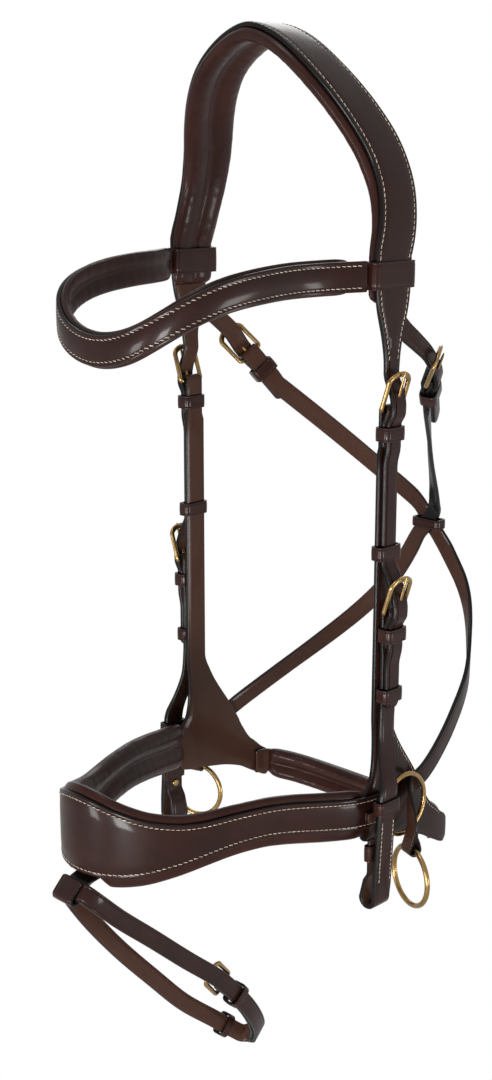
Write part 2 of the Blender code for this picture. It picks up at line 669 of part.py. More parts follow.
def crown_rows():
    """Return half of the crown from the near foot to the top.

    Sideways it is the cosine to the power 1.2 and upwards the sine of one angle, which gives a
    slightly pointed arch. It leans forwards by the table of shares of its height."""
    turn = np.linspace(0.0, math.pi / 2, CROWN_STEPS + 1)
    rise = np.sin(turn)
    table = smooth(CROWN_LEAN_SHARES, 3)
    forward = np.interp(rise, table[:, 0], table[:, 1])
    thick = LEATHER + (CROWN_LEATHER - LEATHER) * np.minimum(rise * 2, 1.0)
    side = HALF_WIDTH * np.cos(turn) ** 1.2
    side[-1] = 0.0
    points = np.column_stack([side, HEAD_LINE - CROWN_LEAN * forward,
                              -CROWN_FOOT_DROP + CROWN_HEIGHT * rise])
    return rows_of(points, (0, -1, 0), HEAD_FOOT_WIDTH, thick)


def headpiece():
    """Make the headpiece from the near billet's tip over the crown to the far one, and its pad."""
    hang = cheek_seat(NEAR, HANGER_IN, HANGER_BUCKLE_DROP)
    cheek = cheek_seat(NEAR, CHEEK_IN, CHEEK_BUCKLE_DROP)
    ahead = (0, -1, 0)
    tip = -BILLET_TIP_BELOW_BAR
    low = [(FLAT, tip * 0.94), (FLAT, tip * 0.80), (FLAT, -RETURN_LENGTH * 1.55), (SEATED, -RETURN_LENGTH)]
    lane = billet_lane(BUCKLE_LENGTH, BUCKLE_TILT_DEGREES)[::-1]
    mid = [(FLAT, -HANGER_RUNNER_BELOW_BAR - KEEPER_HEIGHT * 0.55),
           (FLAT, -(HANGER_RUNNER_BELOW_BAR + RETURN_LENGTH * 1.55) / 2)]
    mid += low[2:]
    rows = joined(seat_rows(cheek, [(FLAT, tip)], BILLET_WIDTH * 0.5, LEATHER, ahead),
                  seat_rows(cheek, low + lane, BILLET_WIDTH, LEATHER, ahead),
                  seat_rows(hang, mid + lane, BILLET_WIDTH, LEATHER, ahead))
    foot = []
    for share, wide in HEAD_FOOT_SHARES:
        place = (HALF_WIDTH, STRAP_LINE + (HEAD_LINE - STRAP_LINE) * share,
                 -HANGER_BUCKLE_DROP + (HANGER_BUCKLE_DROP - CROWN_FOOT_DROP) * share)
        foot.append(rows_of(place, ahead, BILLET_WIDTH + (HEAD_FOOT_WIDTH - BILLET_WIDTH) * wide, LEATHER))
    crown = crown_rows()
    half = joined(lean(smooth(joined(rows, *foot))), crown)
    whole = both_halves(half)
    whole[:, 3:6] = ahead
    piece = strap_of("headpiece_leather", whole)
    cutters = []
    for side in (NEAR, FAR):
        seats = (cheek_seat(side, HANGER_IN, HANGER_BUCKLE_DROP),
                 cheek_seat(side, CHEEK_IN, CHEEK_BUCKLE_DROP))
        cutters += [tongue_cutters(seat, BUCKLE_LENGTH, BUCKLE_TILT_DEGREES) for seat in seats]
        for k in range(4):
            spot = seats[0].at(FLAT, -RETURN_LENGTH * 1.6 - HOLE_PITCH * k)
            cutters.append(hole_cutter(spot, (1, 0, 0), reach=LEATHER))
    cut(piece, cutters)
    foot_place = (HALF_WIDTH, HEAD_LINE, -CROWN_PAD_FOOT_DROP)
    low_place = (HALF_WIDTH, HEAD_LINE, -(CROWN_PAD_FOOT_DROP + CROWN_FOOT_DROP) / 2)
    half = joined(rows_of([foot_place, low_place], ahead, 0, LEATHER), crown)
    whole = both_halves(half)
    whole[:, 3:6] = ahead
    across, out = frames(whole[:, :3], whole[:, 3:6])
    path = whole[:, :3] - out * (whole[:, 7:8] / 2 + 2 * GAP)
    count = len(path)
    top = np.clip((whole[:, 2] + CROWN_FOOT_DROP) / CROWN_HEIGHT * 2.5, 0.0, 1.0)
    width = CROWN_PAD_FOOT_WIDTH + (CROWN_PAD_WIDTH - CROWN_PAD_FOOT_WIDTH) * top
    depth = CROWN_PAD_FOOT_DEPTH + (CROWN_PAD_DEPTH - CROWN_PAD_FOOT_DEPTH) * top
    pad("headpiece_pad", path, (0, -1, 0), width, depth * drawn_in(count, 1))


def offset_path(rows, distance):
    """Return a path beside the rows' path, this far out of it."""
    _, out = frames(rows[:, :3], rows[:, 3:6], square=False)
    return rows[:, :3] + out * distance


def browband():
    """Make the browband, its lining and its two loops round the headpiece."""
    table = np.array(BROWBAND_SHARES)
    points = np.column_stack([table[:, 0] * HALF_WIDTH, -table[:, 1] * BROWBAND_REACH,
                              -BROWBAND_DROP - table[:, 2] * BROWBAND_DIP])
    half = rows_of(points, (0, 0, -1), BROWBAND_WIDTH, LEATHER)
    whole = lean(smooth(both_halves(half)), GAP / 2)
    strap_of("browband_leather", whole, square=False)
    inner = offset_path(whole, -LEATHER / 2 - 2 * GAP)[2:-2]
    count = len(inner)
    pad("browband_pad", inner, (0, 0, -1), BROWBAND_PAD_WIDTH * drawn_in(count, 1, 0.85),
        BROWBAND_PAD_DEPTH * drawn_in(count), square=False)
    for side, label in SIDE_NAMES.items():
        deep = LEATHER + CROWN_PAD_FOOT_DEPTH + 4 * GAP
        middle = HALF_WIDTH + LEATHER / 2 + GAP - deep / 2
        seat = Seat((side * middle, HEAD_LINE, -BROWBAND_DROP), (0, 0, 1), (side, 0, 0))
        keeper(f"browband_loop_{label}", seat.matrix(), CROWN_PAD_FOOT_WIDTH + 4 * GAP, deep,
               BROWBAND_LOOP_HEIGHT)


def hanger(side, label):
    """Make a noseband hanger: the folded end at its buckle, the strap and the plate at its foot."""
    seat = cheek_seat(NEAR, HANGER_IN, HANGER_BUCKLE_DROP)
    fold = seat_rows(seat, chape_lane(FOLD, CHAPE_LEATHER, RETURN_LENGTH, RETURN_LENGTH), CHAPE_WIDTH,
                     CHAPE_LEATHER, FORE)
    drops = (HANGER_BUCKLE_DROP + RETURN_LENGTH * 1.2, (HANGER_BUCKLE_DROP + SPREAD_DROP) / 2, SPREAD_DROP)
    run = rows_of([(HANGER_IN, STRAP_LINE, -drop) for drop in drops], FORE, HANGER_WIDTH, LEATHER)
    reach, depth = CHIN_END_BACK, CHIN_DROP - SPREAD_DROP
    front = np.array(SPREAD_FRONT_SHARES) * [reach, -depth] - [0.0, SPREAD_DROP]
    rear = np.array(SPREAD_REAR_SHARES) * [reach, -depth] - [0.0, SPREAD_DROP]
    middle = (front + rear) / 2
    spread = rear - front
    plate = rows_of(np.column_stack([np.array(SPREAD_IN_SHARES) * HANGER_IN, middle]), FORE,
                    np.linalg.norm(spread, axis=1), LEATHER)
    plate[:, 4:6] = unit(spread)
    rows = joined(fold, lean(smooth(joined(run, plate))))
    rows[:, 3] = 0.0
    piece = strap_of(f"noseband_hanger_{label}", rows, side, square=False)
    chape_slot(piece, cheek_seat(side, HANGER_IN, HANGER_BUCKLE_DROP))


def chape_slot(piece, seat):
    """Cut the slot for a tongue through the fold at a seat."""
    far = FOLD + CHAPE_LEATHER * 0.7
    cut(piece, [slot_cutter(seat, -EYE - TONGUE_RADIUS - EASE, far, 2 * (TONGUE_RADIUS + EASE), far)])


def noseband():
    """Make the noseband, its lining, and the chin strap and pad behind the jaw."""
    table = np.array(NOSEBAND_SHARES)
    points = np.column_stack([table[:, 0] * NOSEBAND_IN, -table[:, 1] * NOSEBAND_REACH,
                              -NOSEBAND_DROP + table[:, 2] * NOSEBAND_RISE])
    points[0, 1] = NOSEBAND_END_BACK
    width = NOSEBAND_END_WIDTH + table[:, 3] * (NOSEBAND_FRONT_WIDTH - NOSEBAND_END_WIDTH)
    half = rows_of(points, (0, 0, -1), width, LEATHER)
    whole = smooth(both_halves(half))
    strap_of("noseband_leather", whole, square=False)
    inner = offset_path(whole, -LEATHER / 2 - 2 * GAP)[5:-5]
    count = len(inner)
    beside = (abs(inner[:, 0]) - FLASH_LOOP_WIDTH / 2) / NOSEBAND_PAD_TUCK
    below = NOSEBAND_PAD_BELOW * np.clip(beside, NOSEBAND_TUCK_SHARE, 1.0)
    inner[:, 2] += (NOSEBAND_PAD_ABOVE - below) / 2
    width = (whole[5:-5, 6] + NOSEBAND_PAD_ABOVE + below) * drawn_in(count, 1, 0.9)
    pad("noseband_pad", inner, (0, 0, -1), width, NOSEBAND_PAD_DEPTH * drawn_in(count, 3, 0.45), square=False)
    table = np.array(CHIN_SHARES)
    points = np.column_stack([table[:, 0] * CHIN_IN, table[:, 1] * CHIN_BACK,
                              -CHIN_DROP - table[:, 2] * CHIN_SAG])
    half = rows_of(points, (0, 0, 1), CHIN_WIDTH, LEATHER)
    whole = smooth(both_halves(half))
    strap_of("chin_strap", whole, square=False)
    inner = offset_path(whole, -LEATHER / 2 - 2 * GAP)[3:-3]
    count = len(inner)
    pad("chin_pad", inner, (0, 0, 1), CHIN_PAD_WIDTH * drawn_in(count, 1, 0.85),
        CHIN_PAD_DEPTH * drawn_in(count, 3, 0.5), square=False)


def bit_loop_rows():
    """Return the foot of a cheekpiece: round the bit's place and up to the hooked end."""
    line = STRAP_LINE - CHEEK_FORWARD
    radius = (BIT_LOOP_INSIDE + LEATHER) / 2
    low = -BIT_DROP + radius - LEATHER / 2
    turn = arc(BIT_END_IN - radius, low, radius, 0, -180, 7)
    fold = rows_of([(x, line, z) for x, z in turn], FORE, BIT_END_WIDTH, LEATHER)
    inner = BIT_END_IN - BIT_END_LEATHER / 2 - 2 * GAP - KEEPER_WALL - CHAPE_LEATHER / 2
    places = [((BIT_END_IN - 2 * radius) * 0.6 + inner * 0.4, line, -STUD_DROP - BIT_KEEPER_HEIGHT * 0.95),
              (inner, line, -STUD_DROP - STUD_HEAD_RADIUS * 1.3), (inner, line, -INNER_PLY_TOP_DROP)]
    up = rows_of(places, FORE, BIT_END_WIDTH * 0.9, CHAPE_LEATHER)
    return fold, up, inner


def cheekpiece(side, label):
    """Make a cheekpiece from its folded end at the buckle to its hooked end below."""
    seat = cheek_seat(NEAR, CHEEK_IN, CHEEK_BUCKLE_DROP)
    fold = seat_rows(seat, chape_lane(FOLD, CHAPE_LEATHER, RETURN_LENGTH, RETURN_LENGTH), CHAPE_WIDTH,
                     CHAPE_LEATHER, FORE)
    table = np.array(CHEEK_SHARES)
    points = np.column_stack([CHEEK_IN + table[:, 0] * (BIT_END_IN - CHEEK_IN),
                              STRAP_LINE - table[:, 1] * CHEEK_FORWARD,
                              -CHEEK_BUCKLE_DROP - table[:, 2] * (BIT_DROP - CHEEK_BUCKLE_DROP)])
    grown = np.clip((table[:, 2] - 0.53) / 0.08, 0.0, 1.0) * (table[:, 2] < 0.95)
    run = rows_of(points, FORE, CHEEK_WIDTH + (BIT_END_WIDTH - CHEEK_WIDTH) * grown,
                  LEATHER + (BIT_END_LEATHER - LEATHER) * grown)
    start = rows_of(seat.at(-FOLD, -RETURN_LENGTH * 1.2), FORE, CHEEK_WIDTH, LEATHER)
    bottom, up, inner = bit_loop_rows()
    run = smooth(joined(start, run))
    rows = joined(fold, lean(run), bottom, lean(smooth(up)))
    piece = strap_of(f"cheekpiece_{label}", rows, side)
    chape_slot(piece, cheek_seat(side, CHEEK_IN, CHEEK_BUCKLE_DROP))
    line = STRAP_LINE - CHEEK_FORWARD
    cut(piece, [hole_cutter((side * inner, line, -STUD_DROP), (1, 0, 0), reach=CHAPE_LEATHER)])
    face = BIT_END_IN - BIT_END_LEATHER / 2 - GAP
    head = inner - CHAPE_LEATHER / 2 - GAP
    profile = ((face, STUD_RADIUS), (head, STUD_RADIUS), (head, STUD_HEAD_RADIUS),
               (head - STUD_HEAD, STUD_HEAD_RADIUS * 0.7))
    turn = np.radians(np.arange(0, 360, 36))
    rings = np.array([[(side * x, line + r * math.cos(t), -STUD_DROP + r * math.sin(t)) for t in turn]
                      for x, r in profile])
    skin(f"hook_stud_{label}", rings, BRASS)
    seat = Seat((side * inner, line, -BIT_KEEPER_DROP), (0, 0, 1), (side, 0, 0))
    keeper(f"bit_keeper_{label}", seat.matrix(), BIT_END_WIDTH * 0.9 + 2 * GAP, CHAPE_LEATHER + 2 * GAP,
           BIT_KEEPER_HEIGHT)
    ahead = STRAP_LINE - CHEEK_FORWARD * 0.71
    seat = Seat((side * BIT_END_IN, ahead, -LOW_KEEPER_DROP), (0, 0, 1), (side, 0, 0))
    keeper(f"low_keeper_{label}", seat.matrix(), BIT_END_WIDTH + 4 * GAP, BIT_END_LEATHER + 2 * GAP,
           LOW_KEEPER_HEIGHT)


def jaw_straps(side, label):
    """Make the strap from the top buckle on one side to the rein ring on the other, the short
    billet it buckles to, and their keeper."""
    seat = jaw_seat(NEAR)
    along, up, _ = seat.axes()
    across = -along
    fold = seat_rows(seat, chape_lane(FOLD, CHAPE_LEATHER, RETURN_LENGTH, RETURN_LENGTH), CHAPE_WIDTH,
                     CHAPE_LEATHER, across)
    start = rows_of(seat.at(-FOLD, -RETURN_LENGTH * 1.25), across, CROSS_WIDTH, LEATHER)
    lift = (LEATHER + 2 * GAP) / 2 * (-1 if side == NEAR else 1)
    high = np.array(JAW_UPPER_SHARES)
    points = np.column_stack([CROSS_BAR_IN * (1 - high[:, 0]),
                              CROSS_BAR_BACK + (CROSSING_BACK - CROSS_BAR_BACK) * high[:, 1],
                              -CROSS_BAR_DROP - (CROSSING_DROP - CROSS_BAR_DROP) * high[:, 2]])
    points[-2:, 1] += lift
    turn = np.linspace(0.3, 1.0, len(high))[:, None]
    upper = rows_of(points, FORE, CROSS_WIDTH, LEATHER)
    upper[:, 3:6] = unit(across * (1 - turn) + np.array(CROSSING_ACROSS) * turn)
    upper[-1:, 6] = CROSS_WIDTH * 0.92
    middle = rows_of((0.0, CROSSING_BACK + lift, -CROSSING_DROP), CROSSING_ACROSS, CROSS_WIDTH * 0.92,
                     LEATHER)
    low = np.array(JAW_LOWER_SHARES)
    points = np.column_stack([-JAW_IN * low[:, 0],
                              CROSSING_BACK + (CROSSING_BACK - JAW_ENTRY_BACK) * low[:, 1],
                              -CROSSING_DROP - (JAW_ENTRY_DROP - CROSSING_DROP) * low[:, 2]])
    points[:2, 1] += lift
    turn = np.clip(np.linspace(0.0, 1.15, len(low)), 0.0, 1.0)[:, None]
    lower = rows_of(points, FORE, CROSS_WIDTH, LEATHER)
    lower[:, 3:6] = unit(np.array(CROSSING_ACROSS) * (1 - turn) + np.array(ENTRY_ACROSS) * turn)
    lower[:1, 6] = CROSS_WIDTH * 0.92
    passing = np.array(RING_PASS_SHARES)
    points = np.column_stack([-JAW_IN - (TAB_IN - JAW_IN) * passing[:, 0],
                              JAW_ENTRY_BACK - (JAW_ENTRY_BACK - TAB_BACK) * passing[:, 1],
                              -JAW_ENTRY_DROP - (JAW_PASS_DROP - JAW_ENTRY_DROP) * passing[:, 2]])
    tab_across = np.array(TAB_ACROSS) * [-1, 1, 1]
    turn = passing[:, 3:4]
    ring_part = rows_of(points, FORE, CROSS_WIDTH + (RING_TAB_WIDTH - CROSS_WIDTH) * passing[:, 3],
                        LEATHER + (TAB_LEATHER - LEATHER) * passing[:, 3])
    ring_part[:, 3:6] = unit(np.array(ENTRY_ACROSS) * (1 - turn) + tab_across * turn)
    tab = Seat((-TAB_IN, TAB_BACK, -TAB_DROP), (0, 0, 1), (-TAB_ACROSS[1], -TAB_ACROSS[0], 0))
    half = (TAB_LEATHER + GAP) / 2
    bend = arc(0.0, 0.0, TAB_FOLD, 0, -180, 7)
    lane = [(half, TAB_FOLD * 2.2)] + [tuple(p) for p in bend]
    lane += [(-TAB_FOLD * 0.72, TAB_FOLD * 1.1), (-half, TAB_FOLD * 2.2), (-half, TAB_FOLD_LENGTH)]
    end = seat_rows(tab, lane, RING_TAB_WIDTH, TAB_LEATHER, tab_across)
    run = lean(smooth(joined(start, upper, middle, lower, ring_part)), GAP / 2)
    rows = joined(fold, run, end)
    piece = strap_of(f"cross_strap_{label}", rows, side)
    chape_slot(piece, jaw_seat(side))
    lane = [(SEATED * 0.8, -CROSS_TIP_BELOW_BAR), (SEATED * 0.8, -CROSS_TIP_BELOW_BAR * 0.93),
            (SEATED * 0.9, -RETURN_LENGTH * 1.2), (SEATED, -RETURN_LENGTH * 0.8)]
    lane += billet_lane(BUCKLE_LENGTH, BUCKLE_TILT_DEGREES)[::-1]
    rows = seat_rows(seat, lane, BILLET_WIDTH, LEATHER, across)
    rows[0, 6] = BILLET_WIDTH * 0.5
    under = HALF_WIDTH - LEATHER - GAP
    fall = REAR_BILLET_TOP_DROP
    top = rows_of([(under, WRAP_BACK * 1.1, -fall - WRAP_BACK * 0.9),
                   (under, WRAP_BACK * 0.45, -fall - WRAP_BACK * 0.35), (under, 0.0, -fall)],
                  (0, 0.7, 0.7), BILLET_WIDTH, LEATHER)
    piece = strap_of(f"rear_billet_{label}", lean(smooth(joined(rows, top))), side)
    cut(piece, [tongue_cutters(jaw_seat(side), BUCKLE_LENGTH, BUCKLE_TILT_DEGREES)])
    fitted(f"cross_keeper_{label}", jaw_seat(side), -KEEPER_BELOW_BAR, -FOLD - CHAPE_LEATHER / 2,
           SEATED + LEATHER / 2)


def fitted(name, seat, up, low, high, width=CHAPE_WIDTH, height=KEEPER_HEIGHT):
    """Make a keeper round everything between two distances out of a seat."""
    deep = high - low + 2 * GAP
    return keeper(name, seat.matrix(0.0, (low + high) / 2, up), width + 4 * GAP, deep, height)


def buckles(side, label):
    """Make the buckles, tongues and keepers of one side's cheek and jaw straps."""
    hang = cheek_seat(side, HANGER_IN, HANGER_BUCKLE_DROP)
    cheek = cheek_seat(side, CHEEK_IN, CHEEK_BUCKLE_DROP)
    for word, seat in (("hanger", hang), ("cheek", cheek), ("cross", jaw_seat(side))):
        buckle(f"{word}_buckle_{label}", seat, BUCKLE_INSIDE, BUCKLE_LENGTH, BUCKLE_TILT_DEGREES)
        tongue(f"{word}_tongue_{label}", seat, BUCKLE_LENGTH, BUCKLE_TILT_DEGREES)
    low, high = -FOLD - CHAPE_LEATHER / 2, SEATED + LEATHER / 2
    fitted(f"hanger_keeper_{label}", hang, -KEEPER_BELOW_BAR, low, high)
    fitted(f"cheek_keeper_{label}", cheek, -KEEPER_BELOW_BAR, low, high)
    low, high = -FOLD - LEATHER / 2, FLAT + LEATHER / 2
    fitted(f"hanger_runner_{label}", hang, -HANGER_RUNNER_BELOW_BAR, low, high, HANGER_WIDTH)
    fitted(f"cheek_runner_{label}", cheek, -CHEEK_RUNNER_BELOW_BAR, low, high, CHEEK_WIDTH)


def rings(side, label):
    """Make one side's ring beside the noseband, its folded leather, and the rein ring."""
    front = SIDE_RING_BACK - SIDE_RING_RADIUS
    ring(f"side_ring_{label}", (side * SIDE_RING_IN, SIDE_RING_BACK, -SIDE_RING_DROP), (side, 0, 0),
         SIDE_RING_RADIUS, SIDE_RING_WIRE, (side * SIDE_RING_IN, front, -SIDE_RING_DROP))
    seat = Seat((SIDE_RING_IN, front, -SIDE_RING_DROP), (0, 1, 0), (1, 0, 0))
    lane = chape_lane(RING_FOLD, RING_CHAPE_LEATHER, RING_CHAPE_LENGTH, RING_CHAPE_LENGTH)
    rows = seat_rows(seat, lane, RING_CHAPE_WIDTH, RING_CHAPE_LEATHER, (0, 0, 1))
    strap_of(f"ring_chape_{label}", rows, side)
    along = np.array(TAB_ACROSS) * [side, 1, 1]
    normal = np.cross(along, (0, 0, 1))
    ring(f"rein_ring_{label}", (side * TAB_IN, TAB_BACK, -TAB_DROP - REIN_RING_RADIUS), normal,
         REIN_RING_RADIUS, REIN_RING_WIRE, (side * TAB_IN, TAB_BACK, -TAB_DROP))


def flash():
    """Make the flash strap, its loop on the noseband, its buckle and its keepers."""
    near = np.array(FLASH_NEAR_SHARES)
    far = np.array(FLASH_FAR_SHARES)[::-1]
    table = joined(near, far)
    points = np.column_stack([table[:, 0] * FLASH_HALF_GAP,
                              -FLASH_FRONT_REACH + table[:, 1] * (FLASH_FRONT_REACH - FLASH_BACK_REACH),
                              -FLASH_FRONT_DROP - table[:, 2] * (FLASH_BACK_DROP - FLASH_FRONT_DROP)])
    round_path = smooth(rows_of(points, FLASH_ACROSS, FLASH_WIDTH, LEATHER), 3)
    _, out = frames(round_path[:, :3], round_path[:, 3:6])
    bar_at = 3 * 6 + 2
    tail_end = 3 * (len(near) + 2)
    path = round_path[:, :3]
    layer = LEATHER + 2 * GAP
    bar = path[bar_at] - out[bar_at] * (layer + FOLD)
    up = path[bar_at - 1] - path[bar_at + 1]
    seat = Seat(tuple(bar), tuple(up), tuple(-out[bar_at]))
    fold = seat_rows(seat, chape_lane(FOLD, CHAPE_LEATHER, FLASH_RETURN_LENGTH * 0.5, FLASH_RETURN_LENGTH),
                     FLASH_WIDTH * 0.9, CHAPE_LEATHER, FLASH_ACROSS)
    share = np.clip((len(path) - 8 - np.arange(len(path))) / (len(path) - 8 - tail_end - 1), 0.0, 1.0)
    inner = round_path.copy()
    inner[:, :3] -= out * (layer * share)[:, None]
    inner[:bar_at + 9, 7] = CHAPE_LEATHER
    start = bar_at + 3
    outer = round_path[1:tail_end]
    outer[-1, 6] = FLASH_WIDTH * 0.5
    rows = joined(fold, lean(joined(inner[start:], outer), GAP / 2))
    piece = strap_of("flash_strap", rows)
    spots = (bar_at - 6, bar_at - 4, tail_end - 8, tail_end - 6, tail_end - 4)
    holes = [hole_cutter(path[k], out[k], reach=LEATHER / 2 + GAP / 2) for k in spots]
    chape_slot(piece, seat)
    cut(piece, holes)
    buckle("flash_buckle", seat, FLASH_BUCKLE_INSIDE, FLASH_BUCKLE_LENGTH, FLASH_TILT_DEGREES)
    tongue("flash_tongue", seat, FLASH_BUCKLE_LENGTH, FLASH_TILT_DEGREES)
    fitted("flash_keeper", seat, -KEEPER_BELOW_BAR, -FOLD - layer - LEATHER / 2 - EASE,
           STACK + CHAPE_LEATHER / 2 + EASE, FLASH_WIDTH, KEEPER_HEIGHT * 0.7)
    k = tail_end - 2
    here = Seat(tuple(path[k] - out[k] * layer / 2), tuple(path[k - 1] - path[k + 1]), tuple(out[k]))
    keeper("flash_runner", here.matrix(), FLASH_WIDTH + 4 * GAP, layer + LEATHER + 4 * GAP,
           KEEPER_HEIGHT * 0.7)
    middle = np.array([0.0, -FLASH_FRONT_REACH, -FLASH_FRONT_DROP])
    wide = np.array(FLASH_ACROSS) / np.linalg.norm(FLASH_ACROSS)
    face = np.cross(wide, (1, 0, 0))
    clear = LEATHER / 2 + 2 * GAP + FLASH_LOOP_LEATHER / 2
    half = FLASH_WIDTH / 2 + GAP
    rear = -NOSEBAND_REACH + LEATHER / 2 + NOSEBAND_PAD_DEPTH + FLASH_LOOP_LEATHER * 2.0
    ply = [(0.0, rear, -NOSEBAND_DROP + NOSEBAND_RISE * rise) for rise in (0.6, -0.4, -1.35)]
    side_face = face if face[2] < 0 else -face
    down = [middle + wide * half + side_face * clear, middle - wide * half + side_face * clear]
    turn = np.radians(np.linspace(30, 150, 5))
    bend = [middle - wide * (half + clear * math.sin(t)) + side_face * clear * math.cos(t) for t in turn]
    back = [middle - wide * half - side_face * clear, middle + wide * half * 0.8 - side_face * clear]
    points = np.array([*ply, *down, *bend, *back])
    strap("flash_loop", points, (1, 0, 0), FLASH_LOOP_WIDTH, FLASH_LOOP_LEATHER)


def main():
    """Build the whole bridle."""
    clear_scene()
    headpiece()
    browband()
    noseband()
    for side, label in SIDE_NAMES.items():
        hanger(side, label)
        cheekpiece(side, label)
        jaw_straps(side, label)
        buckles(side, label)
        rings(side, label)
    crossing = Seat((0.0, CROSSING_BACK, -CROSSING_DROP), (0, 0, 1), (0, 1, 0))
    keeper("crossing_loop", crossing.matrix(), CROSSING_LOOP_WIDTH, 2 * LEATHER + 7 * GAP,
           CROSSING_LOOP_HEIGHT)
    flash()


main()
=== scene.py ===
"""The looks of a horse bridle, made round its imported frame.

Every strap is a section carried along a path. The paths are the ones that the solid parts follow,
in metres, with the origin under the crown at the poll, +Z up, the horse's head towards -Y and its
near side at +X. A row holds a place, the direction across the strap, its width and its thickness.
"""
from __future__ import annotations

import json
import logging
import math
from dataclasses import dataclass, field
from enum import Enum

import bpy
import numpy as np
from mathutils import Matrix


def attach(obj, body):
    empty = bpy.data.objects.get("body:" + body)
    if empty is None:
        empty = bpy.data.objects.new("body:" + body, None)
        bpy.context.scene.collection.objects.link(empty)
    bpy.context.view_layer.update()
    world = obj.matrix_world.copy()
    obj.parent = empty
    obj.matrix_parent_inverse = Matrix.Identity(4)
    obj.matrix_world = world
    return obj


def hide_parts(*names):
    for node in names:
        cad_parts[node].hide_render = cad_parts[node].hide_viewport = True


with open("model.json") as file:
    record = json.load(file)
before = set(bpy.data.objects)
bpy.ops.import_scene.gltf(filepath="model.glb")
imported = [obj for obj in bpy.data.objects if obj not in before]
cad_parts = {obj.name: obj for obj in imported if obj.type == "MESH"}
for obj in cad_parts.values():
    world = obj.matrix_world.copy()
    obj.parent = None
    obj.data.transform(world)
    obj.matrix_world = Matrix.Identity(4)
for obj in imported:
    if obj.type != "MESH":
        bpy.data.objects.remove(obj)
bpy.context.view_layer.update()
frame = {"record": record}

LOG = logging.getLogger("bridle")
Array = np.ndarray
Pair = tuple[float, float]
Triple = tuple[float, float, float]


class Side(Enum):
    """A side of the horse, with the sign of its X places."""

    NEAR = 1
    FAR = -1

    @property
    def label(self) -> str:
        """Return the word that a node's name ends in."""
        return self.name.lower()


class Slot(Enum):
    """The material slots that the frame's record lists."""

    STRAP = "bridle_leather"
    LOOP = "loop_leather"
    PAD = "pad_leather"
    BRASS = "brass"


@dataclass(frozen=True)
class Stock:
    """Thicknesses, wire sizes and clearances that the whole bridle shares."""

    leather: float = 0.0028
    crown: float = 0.0032
    chape: float = 0.0022
    ring_chape: float = 0.0016
    bit_end: float = 0.0044
    tab: float = 0.0018
    flash_loop: float = 0.0018
    keeper_wall: float = 0.0015
    gap: float = 0.0003
    ease: float = 0.0005
    wire: float = 0.0015
    pin: float = 0.0010
    side_ring_wire: float = 0.0016
    rein_ring_wire: float = 0.0018
    hole: float = 0.0015
    hole_pitch: float = 0.0128

    @property
    def fold(self) -> float:
        """Return the distance from a bar to the middle of the leather folded round it."""
        return self.wire + self.gap + self.chape / 2

    @property
    def stack(self) -> float:
        """Return the distance out of a bar to the middle of a fold's outer ply."""
        return -self.fold + self.chape + self.gap

    @property
    def seated(self) -> float:
        """Return the distance out of a bar to a billet that lies on the fold."""
        return self.stack + self.chape / 2 + self.gap + self.leather / 2

    @property
    def flat(self) -> float:
        """Return the distance out of a bar to a billet that lies on the single strap."""
        return -self.fold + self.leather + self.gap


@dataclass(frozen=True)
class Widths:
    """The widths of the straps."""

    billet: float = 0.0127
    hanger: float = 0.0165
    chape: float = 0.0140
    cheek: float = 0.0135
    bit_end: float = 0.0155
    cross: float = 0.0130
    tab: float = 0.0105
    ring_chape: float = 0.0070
    flash: float = 0.0120
    flash_loop: float = 0.0180
    keeper: float = 0.0090


@dataclass(frozen=True)
class Layout:
    """Where the straps lie, as distances from the middle plane and drops below the poll."""

    half_width: float = 0.0895
    head_line: float = -0.0030
    strap_line: float = -0.0020
    hanger_in: float = 0.0865
    cheek_in: float = 0.0917
    noseband_in: float = 0.0896
    hanger_bar: float = 0.2220
    cheek_bar: float = 0.3500
    keeper_below: float = 0.0145
    hanger_runner_below: float = 0.0900
    cheek_runner_below: float = 0.0550
    tip_below: float = 0.0640
    bit_drop: float = 0.5440
    cheek_forward: float = 0.0140
    ring_in: float = 0.09510
    bit_end_in: float = 0.10140
    jaw_in: float = 0.0907
    tab_in: float = 0.10275
    chin_in: float = 0.0834


STOCK = Stock()
WIDE = Widths()
LAY = Layout()
FORE = (0.0, 1.0, 0.0)
SHARP_ANGLE = math.radians(62)
STITCH_STEP = 0.0020
LINING_STEP = 0.0022
# How a strap's end closes: shares of its reach and of its thickness, and the reach as a share of leather
END_REACH = (0.0, 0.35, 0.8, 1.0)
END_SHRINK = (0.45, 0.80, 0.95, 1.0)
END_SHARE = 0.35
MIRROR = np.array([-1.0, 1.0, 1.0, -1.0, 1.0, 1.0, 1.0, 1.0])


def unit(rows: Array) -> Array:
    """Return each row at length one."""
    return rows / np.linalg.norm(rows, axis=-1)[..., None]


